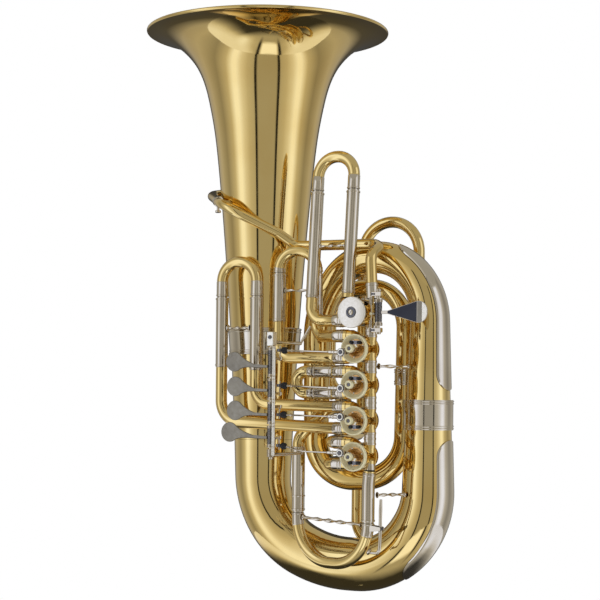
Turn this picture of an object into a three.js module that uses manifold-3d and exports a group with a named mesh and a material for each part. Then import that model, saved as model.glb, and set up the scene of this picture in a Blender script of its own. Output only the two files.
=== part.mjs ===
// Rotary F tuba, five valves. Millimetres, +Z up, +Y toward the player, +X to the right of the bell.
import * as THREE from 'three';
import { mergeVertices } from 'three/addons/utils/BufferGeometryUtils.js';
import Module from 'manifold-3d';

const wasm = await Module();
wasm.setup();

// ---------- driving dimensions ----------
const GAP = 0.4;                 // clearance between neighbouring parts
const WALL = 0.8;                // sheet wall of tubes
const BELL_X = -155;             // bell axis
const BELL_TOP = 894;
const BELL_JOINT = 235;          // lower end of the bell stem
const BELL_RADIUS = 195;
const STEM_R = 47;               // lower end of the bell stem
const BRANCH_X = 139.5;          // outer branch on the right
const BRANCH_JOINT = 278;        // bottom bow meets the outer branch here
const LEG_X = -57;               // inner leg of the top bow
const LEG_JOINT = 250;
const INNER_X = 87;              // right upright of the inner loop
const INNER_Y = 25;
const INNER_JOINT = 337;
const VALVE_X = 66;              // rotor axes run along Y
const VALVE_Z = [377.8, 323.8, 269.8, 215.8];
const VALVE_Y = -82;             // middle of the rotor casings
const VALVE_BACK = -57;
const VALVE_FRONT = -107;
const CASING_R = 21;
const CAP_R = 22;                // front ring of a casing
const CAP_HOLE_R = 14.5;
const CAP_DEPTH = 7;             // from the front ring back to the bearing plate
const ROTOR_R = 17;
const CHAMBER_R = 17.6;          // bore that the rotor turns in
const PORT_UP = 20;              // slide ports above and below a rotor axis
const PORT_DOWN = -13;
const PORT_END = 38;             // x where the slide tubing meets the port knuckles
const LINK_X = 82;               // upright tubes that join one rotor to the next
const FIFTH_X = 64;
const FIFTH_Z = 432;
const FIFTH_Y = -86;
const FIFTH_CAP_R = 23.5;
const BORE_R = 9;                // outside radius of the valve tubing
const SLEEVE_R = 9.8;            // outer slide tube
const INNER_R = 8.3;             // inner slide tube
const ARM_R = 14;                // stop arm from rotor axis to link pin
const ARM_TURN = (24 * Math.PI) / 180;   // of the arm from level, at rest
const SHAFT_X = -48;             // upright shaft of the finger paddles
const SHAFT_Y = -155;
const ROD_Y = -120;
const CRANK_OFFSET = 12.5;       // from a rod to the crank that carries its pin, below or above it
const CRANK_PIN_REST = 6.5;      // of the pin beyond the rod
const SOCKET_HOLE_R = 3.7;       // room for the pin as the crank swings
const CRANK_X = -54;             // crank pin of a paddle, at the left end of its link rod
const ROD_RISE = [3.2, 3.6, 1.5, 8.5];   // of a link rod toward the paddles
const PADDLE_Z = [357, 319.5, 283, 250];
const PADDLE_ARM_Z = [350, 314, 277.5, 243];
const PADDLE_SPAN = [[334, 379], [299, 332], [263, 297], [228, 261]];
const GUARD_HALF_ANGLE = 0.75;
const GUARD_LIFT = 1.25;
const GUARD_THICKNESS = 1;
const GUARD_TIP = 0.45;          // width of a guard's ends as a share of its full width
const GUARD_FACETS = 8;
const BOW_MIDDLE = new THREE.Vector3(-8, 0, 280);
const PADDLE_X = [-111, -109, -109, -118.5];
const PADDLE_R = 15;

const ORIGIN_SHIFT = [84.05, 0, -1.1];   // from the layout frame to the middle of the base

const BRASS = { color: 0xd9b45a, roughness: 0.22, metalness: 1 };
const NICKEL = { color: 0xc9c5bb, roughness: 0.25, metalness: 1 };
const SATIN = { color: 0x9a988f, roughness: 0.5, metalness: 1 };

const tuba = new THREE.Group();
tuba.name = 'tuba';

function add(name, geometry, finish) {
  const clean = mergeVertices(positionsOnly(geometry), 1e-4);
  clean.computeVertexNormals();
  const mesh = new THREE.Mesh(clean, new THREE.MeshStandardMaterial(finish));
  mesh.name = name;
  tuba.add(mesh);
}

// ---------- solids ----------
function positionsOnly(geometry) {
  const bare = new THREE.BufferGeometry();
  bare.setAttribute('position', geometry.getAttribute('position').clone());
  if (geometry.getIndex()) bare.setIndex(geometry.getIndex().clone());
  return bare;
}

function toManifold(geometry) {
  const merged = mergeVertices(positionsOnly(geometry), 1e-4);
  const mesh = new wasm.Mesh({
    numProp: 3,
    vertProperties: new Float32Array(merged.getAttribute('position').array),
    triVerts: new Uint32Array(merged.getIndex().array),
  });
  return new wasm.Manifold(mesh);
}

function fromManifold(solid) {
  const mesh = solid.getMesh();
  const geometry = new THREE.BufferGeometry();
  const vertices = new Float32Array(mesh.vertProperties);
  geometry.setAttribute('position', new THREE.BufferAttribute(vertices, 3));
  geometry.setIndex(new THREE.BufferAttribute(new Uint32Array(mesh.triVerts), 1));
  return geometry;
}

// Turns the faces of a closed geometry outward.
function outward(geometry) {
  const bare = mergeVertices(positionsOnly(geometry), 1e-4);
  if (toManifold(bare).volume() > 0) return bare;
  const index = Array.from(bare.getIndex().array);
  for (let k = 0; k < index.length; k += 3) [index[k], index[k + 1]] = [index[k + 1], index[k]];
  bare.setIndex(index);
  return bare;
}

function fuse(parts, cuts = []) {
  let solid = toManifold(parts[0]);
  for (const part of parts.slice(1)) solid = solid.add(toManifold(part));
  for (const cut of cuts) solid = solid.subtract(toManifold(cut));
  return fromManifold(solid);
}

// Round bar between two points.
function bar(from, to, radius, sides = 10, endRadius = radius) {
  const a = new THREE.Vector3(...from);
  const b = new THREE.Vector3(...to);
  const length = a.distanceTo(b);
  const geometry = new THREE.CylinderGeometry(endRadius, radius, length, sides);
  const along = b.clone().sub(a).normalize();
  geometry.applyQuaternion(new THREE.Quaternion().setFromUnitVectors(new THREE.Vector3(0, 1, 0), along));
  const middle = a.add(b).multiplyScalar(0.5);
  geometry.translate(middle.x, middle.y, middle.z);
  return geometry;
}

function block(low, high) {
  const size = high.map((value, axis) => value - low[axis]);
  const geometry = new THREE.BoxGeometry(...size);
  geometry.translate(low[0] + size[0] / 2, low[1] + size[1] / 2, low[2] + size[2] / 2);
  return geometry;
}

// Closed (radius, height) outline turned about Z.
function turned(outline, sides) {
  const points = outline.map(([radius, height]) => new THREE.Vector2(radius, height));
  if (outline[0][0] !== 0) points.push(points[0].clone());
  const geometry = new THREE.LatheGeometry(points, sides);
  geometry.rotateX(Math.PI / 2);
  return outward(geometry);
}

// Closed (radius, y) outline turned about an axis along Y.
function turnedOnY(outline, sides, x, z) {
  const geometry = turned(outline.map(([radius, y]) => [radius, -y]), sides);
  geometry.rotateX(Math.PI / 2);
  geometry.translate(x, 0, z);
  return geometry;
}

// ---------- routes: corner points [x, y, z, bend radius], arcs by formula ----------
function routePoints(corners, stepAngle) {
  const points = [];
  const at = (k) => new THREE.Vector3(corners[k][0], corners[k][1], corners[k][2]);
  points.push({ p: at(0), t: at(1).sub(at(0)).normalize() });
  for (let k = 1; k < corners.length - 1; k += 1) {
    const corner = at(k);
    const into = corner.clone().sub(at(k - 1)).normalize();
    const out = at(k + 1).sub(corner).normalize();
    const turn = into.angleTo(out);
    const radius = corners[k][3];
    const reach = radius * Math.tan(turn / 2);
    const start = corner.clone().addScaledVector(into, -reach);
    const axis = into.clone().cross(out).normalize();
    const centre = start.clone().addScaledVector(axis.clone().cross(into), radius);
    const steps = Math.max(2, Math.round(turn / stepAngle));
    for (let n = 0; n <= steps; n += 1) {
      const angle = (turn * n) / steps;
      const spoke = start.clone().sub(centre).applyAxisAngle(axis, angle);
      points.push({ p: centre.clone().add(spoke), t: into.clone().applyAxisAngle(axis, angle) });
    }
  }
  const last = corners.length - 1;
  points.push({ p: at(last), t: at(last).sub(at(last - 1)).normalize() });
  let length = 0;
  const kept = [];
  for (const point of points) {
    const previous = kept[kept.length - 1];
    if (previous) {
      const step = point.p.distanceTo(previous.p);
      if (step < 0.5) continue;
      length += step;
    }
    kept.push({ ...point, s: length });
  }
  return kept;
}

function routeAt(points, s) {
  let k = 1;
  while (k < points.length - 1 && points[k].s < s) k += 1;
  const a = points[k - 1];
  const b = points[k];
  const mix = (s - a.s) / (b.s - a.s);
  return { p: a.p.clone().lerp(b.p, mix), t: a.t.clone().lerp(b.t, mix).normalize(), s };
}

// Rings along a route. stations: [distance as a share of the length, outside radius, inside radius].
function ringsAlong(corners, stations, stepAngle, firstSide) {
  const points = routePoints(corners, stepAngle);
  const total = points[points.length - 1].s;
  const marks = stations.map(([share]) => share * total);
  const low = marks[0];
  const high = marks[marks.length - 1];
  const path = points.filter((point) => point.s > low + 1 && point.s < high - 1
    && !marks.some((mark) => Math.abs(mark - point.s) < 1));
  const rings = path.map((point) => {
    let k = 1;
    while (marks[k] < point.s) k += 1;
    const mix = (point.s - marks[k - 1]) / (marks[k] - marks[k - 1]);
    const outer = stations[k - 1][1] + mix * (stations[k][1] - stations[k - 1][1]);
    const inner = stations[k - 1][2] + mix * (stations[k][2] - stations[k - 1][2]);
    return { ...point, outer, inner, order: k - 0.5 };
  });
  stations.forEach(([share, outer, inner], k) => {
    rings.push({ ...routeAt(points, share * total), outer, inner, order: k });
  });
  rings.sort((a, b) => a.s - b.s || a.order - b.order);
  let side = new THREE.Vector3(...firstSide);
  for (const ring of rings) {
    side = side.clone().addScaledVector(ring.t, -side.dot(ring.t)).normalize();
    ring.side = side;
    ring.up = ring.t.clone().cross(side);
  }
  return rings;
}

// Carries a geometry made around the Y axis onto the rings of a route. Its y counts the rings.
function bent(geometry, rings, place) {
  const position = geometry.getAttribute('position');
  for (let n = 0; n < position.count; n += 1) {
    const ring = rings[Math.round(position.getY(n))];
    const point = place(ring, position.getX(n), position.getZ(n));
    position.setXYZ(n, point.x, point.y, point.z);
  }
  return outward(geometry);
}

// Hollow tube, open at both ends: its closed wall profile is turned, then bent along the route.
function tube(corners, stations, sides = 12, stepAngle = Math.PI / 7) {
  const rings = ringsAlong(corners, stations, stepAngle, [0.12, 1, 0.07]);
  const outside = rings.map((ring, k) => new THREE.Vector2(ring.outer, k));
  const inside = rings.map((ring, k) => new THREE.Vector2(ring.inner, k)).reverse();
  const wall = new THREE.LatheGeometry([...outside, ...inside, outside[0].clone()], sides);
  return bent(wall, rings, (ring, across, up) => {
    const point = ring.p.clone().addScaledVector(ring.side, across);
    return point.addScaledVector(ring.up, up);
  });
}

// Thin plate wrapped on the outer side of a bow that lies in the XZ plane.
function guardPlate(corners, stations) {
  const rings = ringsAlong(corners, stations, Math.PI / 7, [0, 1, 0]);
  rings[0].narrow = GUARD_TIP;
  rings[rings.length - 1].narrow = GUARD_TIP;
  const steps = rings.length - 1;
  const plate = new THREE.BoxGeometry(2, steps, 1, GUARD_FACETS, steps, 1);
  plate.translate(0, steps / 2, 0.5);
  return bent(plate, rings, (ring, across, through) => {
    const outwards = ring.p.clone().sub(BOW_MIDDLE);
    outwards.addScaledVector(ring.t, -outwards.dot(ring.t));
    outwards.y = 0;
    outwards.normalize();
    const angle = GUARD_HALF_ANGLE * (ring.narrow ?? 1) * across;
    const radius = ring.outer + GUARD_LIFT + GUARD_THICKNESS * through;
    const point = ring.p.clone().addScaledVector(outwards, radius * Math.cos(angle));
    point.y += radius * Math.sin(angle);
    return point;
  });
}

// Sleeve with a raised bead at each end.
function ferrule(corners, radius, wall, sides) {
  return tube(corners, [
    [0, radius + wall + 1.2, radius], [0.1, radius + wall + 1.2, radius],
    [0.12, radius + wall, radius], [0.88, radius + wall, radius],
    [0.9, radius + wall + 1.2, radius], [1, radius + wall + 1.2, radius],
  ], sides);
}

// ---------- bell ----------
function makeBell() {
  const outside = [
    [STEM_R, BELL_JOINT + GAP], [54, 380], [65, 538], [74.5, 646], [83, 722], [93.5, 779],
    [101, 807], [113, 834], [136, 862], [163, 880], [BELL_RADIUS - 3, BELL_TOP - 5],
  ];
  const rim = [
    [BELL_RADIUS, BELL_TOP - 4], [BELL_RADIUS + 0.4, BELL_TOP - 1], [BELL_RADIUS - 1.5, BELL_TOP],
    [BELL_RADIUS - 6, BELL_TOP],
  ];
  const raise = (radius) => (radius > 100 ? 1 : 0);
  const inside = outside.slice(0, -1).map(([radius, height]) => [radius - WALL, height + raise(radius)]);
  const geometry = turned([...outside, ...rim, ...inside.reverse()], 24);
  geometry.translate(BELL_X, 0, 0);
  add('bell', geometry, BRASS);

  const low = 371;
  const high = 414;
  const sleeve = turned([
    [55, low], [57.6, low], [57.6, low + 5], [56.6, low + 6], [58.8, high - 6], [60, high - 5],
    [60, high], [58, high],
  ], 20);
  sleeve.translate(BELL_X, 0, 0);
  add('bell_ferrule', sleeve, NICKEL);
}

// ---------- the big branches and bows ----------
const MAIN_LEFT = [-58, -54];    // x, y of the main tuning slide's two legs
const MAIN_RIGHT = [79, -80];
const MAIN_END = 126;            // lower end of its left outer tube
const MAIN_RIGHT_END = 117;
const MAIN_BOTTOM = 50;          // centre line of the crook at its lowest
const BOTTOM_BOW = [
  [BELL_X, 0, BELL_JOINT, 0], [BELL_X, 0, 92, 128], [-36, 0, 42.7, 210], [82, 0, 42.7, 120],
  [BRANCH_X, 0, 128, 114], [BRANCH_X, 0, BRANCH_JOINT, 0],
];
const BOTTOM_RADII = [[0, STEM_R], [0.2, 43.5], [0.42, 42], [0.7, 41], [1, 35]];
const TOP_BOW = [
  [BRANCH_X, 0, BRANCH_JOINT + GAP, 0], [BRANCH_X, 0, 460, 105], [88, 0, 523, 90], [5, 0, 523, 88],
  [LEG_X, 0, 452, 150], [LEG_X, 0, LEG_JOINT, 0],
];
const TOP_RADII = [[0, 34.6], [0.45, 25], [1, 19.5]];
const RETURN_BOW = [
  [LEG_X, 0, LEG_JOINT - GAP, 0], [LEG_X, 0, 176, 62], [INNER_X, INNER_Y, 176, 68],
  [INNER_X, INNER_Y, INNER_JOINT, 0],
];
const INNER_LOOP = [
  [INNER_X, INNER_Y, INNER_JOINT + GAP, 0], [INNER_X, INNER_Y, 478, 66], [-62, 46, 478, 66],
  [-62, 46, 325, 34], [-20, 46, 292, 30], [-17, -48, 285, 34], [...MAIN_LEFT, 240, 30],
  [...MAIN_LEFT, MAIN_END, 0],
];

function walled(radii) {
  return radii.map(([share, radius]) => [share, radius, radius - WALL]);
}

function radiusAt(radii, share) {
  let k = 1;
  while (radii[k][0] < share) k += 1;
  const mix = (share - radii[k - 1][0]) / (radii[k][0] - radii[k - 1][0]);
  return radii[k - 1][1] + mix * (radii[k][1] - radii[k - 1][1]);
}

function makeBows() {
  add('bottom_bow', tube(BOTTOM_BOW, walled(BOTTOM_RADII), 14), BRASS);
  add('top_bow', tube(TOP_BOW, walled(TOP_RADII), 12), BRASS);
  add('return_bow', tube(RETURN_BOW, walled([[0, 19.5], [1, 15]]), 12), BRASS);
  add('inner_loop', tube(INNER_LOOP, [
    [0, 15, 14.2], [0.45, 12, 11.2], [0.85, 9.6, 8.8], [0.895, 9.4, 8.7],
    [0.9, 10.2, 9.2], [1, 10.2, 9.2],
  ], 10, Math.PI / 5), BRASS);
  const branch = [[BRANCH_X, 0, 256, 0], [BRANCH_X, 0, 302, 0]];
  const inner = [[INNER_X, INNER_Y, 324, 0], [INNER_X, INNER_Y, 350, 0]];
  add('branch_ferrule', ferrule(branch, 37.2, 0.9, 16), NICKEL);
  add('inner_ferrule', ferrule(inner, 15.6, 0.8, 12), NICKEL);
}

function makeGuards() {
  const guard = (name, corners, radii, shares) => {
    const stations = shares.map((share) => [share, radiusAt(radii, share), 0]);
    add(name, guardPlate(corners, stations), NICKEL);
  };
  guard('guard_upper', TOP_BOW, TOP_RADII, [0.06, 0.24, 0.42]);
  guard('guard_lower', BOTTOM_BOW, BOTTOM_RADII, [0.61, 0.7, 0.83, 0.94]);
}

// ---------- leadpipe ----------
const LEADPIPE = [
  [-240, 104, 655, 0], [-240, -34, 630, 42], [-167, -107, 602, 42], [-100, -53, 562, 24],
  [-76, -37, 542, 24], [LINK_X - 4, -37, 540, 24], [LINK_X - 4, -78, 520, 18],
  [LINK_X, VALVE_Y + 3, 454, 0],
];

function makeLeadpipe() {
  add('leadpipe', tube(LEADPIPE, [[0, 6.6, 5.8], [0.35, 7.4, 6.6], [1, 8.6, 7.8]], 8, Math.PI / 5), BRASS);
  const tip = new THREE.Vector3(...LEADPIPE[0].slice(0, 3));
  const back = new THREE.Vector3(...LEADPIPE[1].slice(0, 3)).sub(tip).normalize();
  const end = tip.clone().addScaledVector(back, -38);
  const start = tip.clone().addScaledVector(back, 14);
  add('mouthpiece_receiver', tube([[...end.toArray(), 0], [...start.toArray(), 0]], [
    [0, 9.6, 7.2], [0.14, 9.6, 7.2], [0.16, 8.6, 7.1], [0.8, 8.6, 7], [1, 7.8, 7],
  ], 14), NICKEL);
}

// ---------- rotor casings and rotors ----------
function casingShell(x, z, closedFront) {
  const front = VALVE_FRONT;
  const outline = [
    [0, VALVE_BACK], [13, VALVE_BACK - 0.6], [19, VALVE_BACK - 3], [CASING_R, VALVE_BACK - 6],
    [CASING_R, front + 6], [CAP_R, front + 5], [CAP_R, front + 1], [CAP_R - 1, front],
  ];
  const opening = closedFront
    ? [[5, front]]
    : [[CAP_R - 1.6, front], [CAP_HOLE_R, front + CAP_DEPTH], [5, front + CAP_DEPTH]];
  const cavity = [
    [5, front + CAP_DEPTH + 2], [CHAMBER_R, front + CAP_DEPTH + 2],
    [CHAMBER_R, VALVE_BACK - 7], [0, VALVE_BACK - 7],
  ];
  return turnedOnY([...outline, ...opening, ...cavity], 16, x, z);
}

function chamber(x, z) {
  return bar([x, VALVE_BACK - 6.9, z], [x, VALVE_FRONT + CAP_DEPTH + 2.1, z], CHAMBER_R, 16);
}

function makeCasings() {
  VALVE_Z.forEach((z, k) => {
    const stubs = [PORT_UP, PORT_DOWN].map((offset) => bar(
      [VALVE_X - 8, VALVE_Y, z + offset],
      [PORT_END, VALVE_Y, z + offset],
      BORE_R + 0.8,
      12,
    ));
    const shell = casingShell(VALVE_X, z, false);
    add(`valve_${k + 1}_casing`, fuse([shell, ...stubs], [chamber(VALVE_X, z)]), BRASS);
  });
  const run = FIFTH_Z - 11;
  const stub = bar([FIFTH_X - 8, FIFTH_Y, run], [PORT_END, FIFTH_Y, run], BORE_R + 0.8, 12);
  const shell = casingShell(FIFTH_X, FIFTH_Z, true);
  add('valve_5_casing', fuse([shell, stub], [chamber(FIFTH_X, FIFTH_Z)]), BRASS);
}

function rotorBody(x, z, stemEnd) {
  const back = VALVE_BACK - 7.5;
  const front = VALVE_FRONT + CAP_DEPTH + 2.6;
  const outline = [
    [0, back], [ROTOR_R, back], [ROTOR_R, front], [4.2, front], [4.2, stemEnd], [0, stemEnd],
  ];
  return turnedOnY(outline, 16, x, z);
}

// side is -1 when the stop arm hangs below the axis, +1 when it stands above it.
const ARM_SIDE = [-1, -1, 1, 1];

function linkPin(k) {
  return [
    VALVE_X - ARM_R * Math.cos(ARM_TURN),
    VALVE_Z[k] + ARM_SIDE[k] * ARM_R * Math.sin(ARM_TURN),
  ];
}

function makeRotors() {
  VALVE_Z.forEach((z, k) => {
    const [pinX, pinZ] = linkPin(k);
    const hub = bar([VALVE_X, -111, z], [VALVE_X, -124, z], 6, 14);
    const arm = block([-3.6, -117, -3], [ARM_R + 3, -112, 3]);
    arm.rotateY(ARM_SIDE[k] < 0 ? Math.PI - ARM_TURN : Math.PI + ARM_TURN);
    arm.translate(VALVE_X, 0, z);
    const boss = bar([pinX, -112, pinZ], [pinX, -117, pinZ], 4.6, 12);
    const pin = bar([pinX, -114, pinZ], [pinX, -125.5, pinZ], 1.8, 8);
    const head = bar([pinX, -122.5, pinZ], [pinX, -125.5, pinZ], 3.6, 10);
    add(`rotor_${k + 1}`, fuse([rotorBody(VALVE_X, z, -124), hub, arm, boss, pin, head]), NICKEL);
  });
  const cap = bar([FIFTH_X, -109, FIFTH_Z], [FIFTH_X, -113, FIFTH_Z], FIFTH_CAP_R, 24, FIFTH_CAP_R - 0.6);
  const screw = bar([FIFTH_X, -112, FIFTH_Z], [FIFTH_X, -114.5, FIFTH_Z], 7.6, 14);
  add('rotor_5', fuse([rotorBody(FIFTH_X, FIFTH_Z, -110), cap, screw]), NICKEL);
}

// ---------- link rods ----------
function makeRods() {
  VALVE_Z.forEach((z, k) => {
    const [pinX, pinZ] = linkPin(k);
    const leftZ = pinZ + ROD_RISE[k];
    const reach = pinX - CRANK_X;
    const along = (share) => [pinX - share * reach, ROD_Y, pinZ + share * ROD_RISE[k]];
    const eye = bar([pinX, ROD_Y + 2, pinZ], [pinX, ROD_Y - 2, pinZ], 5.6, 14);
    const clevis = bar(along(0.04), along(0.24), 2.9, 10);
    const rod = bar(along(0.2), along(0.96), 1.7, 8);
    const boot = bar(along(0.89), along(0.98), 5.2, 10);
    const socket = bar([CRANK_X, ROD_Y, leftZ - 2.4], [CRANK_X, ROD_Y, leftZ + 2.4], 5.2, 12);
    const eyeHole = bar([pinX, ROD_Y + 3, pinZ], [pinX, ROD_Y - 3, pinZ], 2.3, 10);
    const socketHole = bar([CRANK_X, ROD_Y, leftZ - 6], [CRANK_X, ROD_Y, leftZ + 6], SOCKET_HOLE_R, 12);
    add(`link_rod_${k + 1}`, fuse([eye, clevis, rod, boot, socket], [eyeHole, socketHole]), NICKEL);
  });
}

// ---------- finger paddles ----------
function touchPlate(x0, z, armZ) {
  const neckX = SHAFT_X - 26;
  const spread = 0.95;
  const shape = new THREE.Shape();
  const steps = 9;
  for (let n = 0; n <= steps; n += 1) {
    const angle = spread + ((2 * Math.PI - 2 * spread) * n) / steps;
    const x = x0 + PADDLE_R * Math.cos(angle);
    const y = z + PADDLE_R * Math.sin(angle);
    if (n === 0) shape.moveTo(x, y);
    else shape.lineTo(x, y);
  }
  shape.lineTo(neckX, armZ - 2.2);
  shape.lineTo(SHAFT_X - 3, armZ - 2.2);
  shape.lineTo(SHAFT_X - 3, armZ + 2.2);
  shape.lineTo(neckX, armZ + 2.2);
  shape.closePath();
  const geometry = new THREE.ExtrudeGeometry(shape, { depth: 2.2, bevelEnabled: false });
  geometry.rotateX(Math.PI / 2);
  geometry.translate(0, SHAFT_Y - 3.5, 0);
  return geometry;
}

function makePaddles() {
  PADDLE_Z.forEach((z, k) => {
    const [low, high] = PADDLE_SPAN[k];
    const armZ = PADDLE_ARM_Z[k];
    const rodZ = linkPin(k)[1] + ROD_RISE[k];
    const plate = touchPlate(PADDLE_X[k], z, armZ);
    const barrel = bar([SHAFT_X, SHAFT_Y, low], [SHAFT_X, SHAFT_Y, high], 6.4, 14);
    const side = ARM_SIDE[k];
    const barZ = rodZ + side * CRANK_OFFSET;
    const crank = bar([SHAFT_X, SHAFT_Y, barZ], [CRANK_X, ROD_Y, barZ], 2.4, 8);
    const tip = bar([CRANK_X, ROD_Y, barZ - 2.4], [CRANK_X, ROD_Y, barZ + 2.4], 4, 10);
    const pin = bar([CRANK_X, ROD_Y, barZ], [CRANK_X, ROD_Y, rodZ - side * CRANK_PIN_REST], 1.1, 8);
    const bore = bar([SHAFT_X, SHAFT_Y, low - 1], [SHAFT_X, SHAFT_Y, high + 1], 3.6, 12);
    add(`paddle_${k + 1}`, fuse([barrel, plate, crank, tip, pin], [bore]), SATIN);
  });
}

function makePaddleRail() {
  const rod = bar([SHAFT_X, SHAFT_Y, 210], [SHAFT_X, SHAFT_Y, 402], 3, 12);
  const top = block([SHAFT_X - 5, SHAFT_Y - 6, 381], [SHAFT_X + 5, SHAFT_Y + 6, 402]);
  const topArm = block([SHAFT_X - 4, SHAFT_Y + 4, 384], [SHAFT_X + 4, -69, 390]);
  const bottom = bar([SHAFT_X, SHAFT_Y, 213], [SHAFT_X, SHAFT_Y, 226], 6.4, 14);
  const bottomArm = block([SHAFT_X - 4, SHAFT_Y + 4, 214], [SHAFT_X + 4, -68, 220]);
  add('paddle_rail', fuse([rod, top, topArm, bottom, bottomArm]), NICKEL);
}

// ---------- thumb lever ----------
const THUMB_X = 101;
const THUMB_Y = -96;
const THUMB_Z = 432;             // middle of the touch plate
const THUMB_SPAN = [412, 452];   // height of the lever's barrel
const TOUCH_START = 117;
const TOUCH_X = 166;             // where the fan is widest
const TOUCH_HALF = 16.3;
const TOUCH_END = 182.3;
const BRACKET_SPAN = [402, 463];

function makeThumbLever() {
  const [low, high] = THUMB_SPAN;
  const barrel = bar([THUMB_X, THUMB_Y, low], [THUMB_X, THUMB_Y, high], 6.6, 14);
  const shape = new THREE.Shape();
  shape.moveTo(THUMB_X + 2, THUMB_Z + 2.5);
  shape.lineTo(TOUCH_START, THUMB_Z + 2.5);
  shape.lineTo(TOUCH_X, THUMB_Z + TOUCH_HALF);
  shape.quadraticCurveTo(TOUCH_END, THUMB_Z + TOUCH_HALF, TOUCH_END, THUMB_Z);
  shape.quadraticCurveTo(TOUCH_END, THUMB_Z - TOUCH_HALF, TOUCH_X, THUMB_Z - TOUCH_HALF);
  shape.lineTo(TOUCH_START, THUMB_Z - 2.5);
  shape.lineTo(THUMB_X + 2, THUMB_Z - 2.5);
  shape.closePath();
  const plate = new THREE.ExtrudeGeometry(shape, { depth: 2.4, bevelEnabled: false, curveSegments: 4 });
  plate.rotateX(Math.PI / 2);
  plate.translate(0, THUMB_Y + 1.2, 0);
  const bore = bar([THUMB_X, THUMB_Y, low - 2], [THUMB_X, THUMB_Y, high + 2], 3.2, 12);
  add('thumb_lever', fuse([barrel, plate], [bore]), SATIN);
}

function makeThumbBracket() {
  const [low, high] = BRACKET_SPAN;
  const back = THUMB_X - 11.4;
  const foot = 7;
  const post = bar([THUMB_X, THUMB_Y, low - 2], [THUMB_X, THUMB_Y, high + 4], 2.7, 10);
  const upper = block([back, THUMB_Y - 4, high - foot], [THUMB_X + 6, THUMB_Y + 4, high]);
  const lower = block([back, THUMB_Y - 4, low], [THUMB_X + 6, THUMB_Y + 4, low + foot]);
  const web = block([back, THUMB_Y - 4, low], [back + 2.4, THUMB_Y + 4, high]);
  add('thumb_bracket', fuse([post, upper, lower, web]), NICKEL);
}

// ---------- fixed slide legs and slide crooks ----------
const INTO_SLEEVE = 34;

// Fixed leg: bore tube from the port, widening to the outer slide tube for the last stretch.
function fixedLeg(name, corners, sleeveShare) {
  const wide = 1 - sleeveShare;
  add(name, tube(corners, [
    [0, BORE_R, BORE_R - WALL], [wide - 0.006, BORE_R, BORE_R - WALL],
    [wide, SLEEVE_R, SLEEVE_R - WALL], [1, SLEEVE_R, SLEEVE_R - WALL],
  ], 10, Math.PI / 4), NICKEL);
}

const SLIDE_PIPE = { radius: SLEEVE_R, thin: INNER_R, step: Math.PI / 4 };
const MAIN_PIPE = { radius: 9.9, thin: 8.6, step: Math.PI / 8 };

// U-shaped crook whose thin ends run inside the two outer slide tubes.
function crook(name, legA, legB, direction, reach, bend, pipe = SLIDE_PIPE) {
  const { radius, thin, step } = pipe;
  const d = new THREE.Vector3(...direction).normalize();
  const a = new THREE.Vector3(...legA);
  const b = new THREE.Vector3(...legB);
  const behind = b.clone().sub(a).dot(d);
  const inside = (p) => [...p.clone().addScaledVector(d, -INTO_SLEEVE).toArray(), 0];
  const outside = (p, length) => [...p.clone().addScaledVector(d, length).toArray(), bend];
  const corners = [inside(a), outside(a, reach), outside(b, reach - behind), inside(b)];
  const points = routePoints(corners, step);
  const total = points[points.length - 1].s;
  const collar = (INTO_SLEEVE + 1.5) / total;
  const shape = tube(corners, [
    [0, thin, thin - WALL], [collar, thin, thin - WALL],
    [collar + 0.002, radius, thin - WALL], [1 - collar - 0.002, radius, thin - WALL],
    [1 - collar, thin, thin - WALL], [1, thin, thin - WALL],
  ], 10, step);
  add(name, shape, BRASS);
}

const port = (k, offset) => [PORT_END - GAP, VALVE_Y, VALVE_Z[k] + offset];

const FIRST = { left: [-88, -68], right: [-27, -57], top: 496 };
const THIRD = { left: [-185.5, -80], right: [-122, -80], top: 460 };
const FOURTH = { left: [-9, 64], right: [90, 64], top: 512 };
const SECOND_END = -14;
const FIFTH_LEAN = 0.085;
const FIFTH_LEFT = -20;
const FIFTH_RIGHT = 42.4;
const FIFTH_TOP = 620;

function makeFirstSlide() {
  const [lx, ly] = FIRST.left;
  const [rx, ry] = FIRST.right;
  const low = VALVE_Z[0] + PORT_DOWN;
  const high = VALVE_Z[0] + PORT_UP;
  fixedLeg('slide_1_leg_lower', [
    [...port(0, PORT_DOWN), 0], [16, VALVE_Y, low, 40], [lx, ly, low, 26], [lx, ly, FIRST.top, 0],
  ], 0.32);
  fixedLeg('slide_1_leg_upper', [
    [...port(0, PORT_UP), 0], [22, VALVE_Y, high, 16], [rx, ry, high, 22], [rx, ry, FIRST.top, 0],
  ], 0.45);
  crook('slide_1_crook', [lx, ly, FIRST.top], [rx, ry, FIRST.top], [0, 0, 1], 36, 33);
}

function makeSecondSlide() {
  const upper = VALVE_Z[1] + PORT_UP;
  const lower = VALVE_Z[1] + PORT_DOWN;
  fixedLeg('slide_2_leg_upper', [[...port(1, PORT_UP), 0], [SECOND_END, VALVE_Y, upper, 0]], 0.8);
  fixedLeg('slide_2_leg_lower', [[...port(1, PORT_DOWN), 0], [SECOND_END, VALVE_Y, lower, 0]], 0.8);
  crook('slide_2_crook', [SECOND_END, VALVE_Y, upper], [SECOND_END, VALVE_Y, lower], [-1, 0, 0], 32, 16);
}

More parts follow.
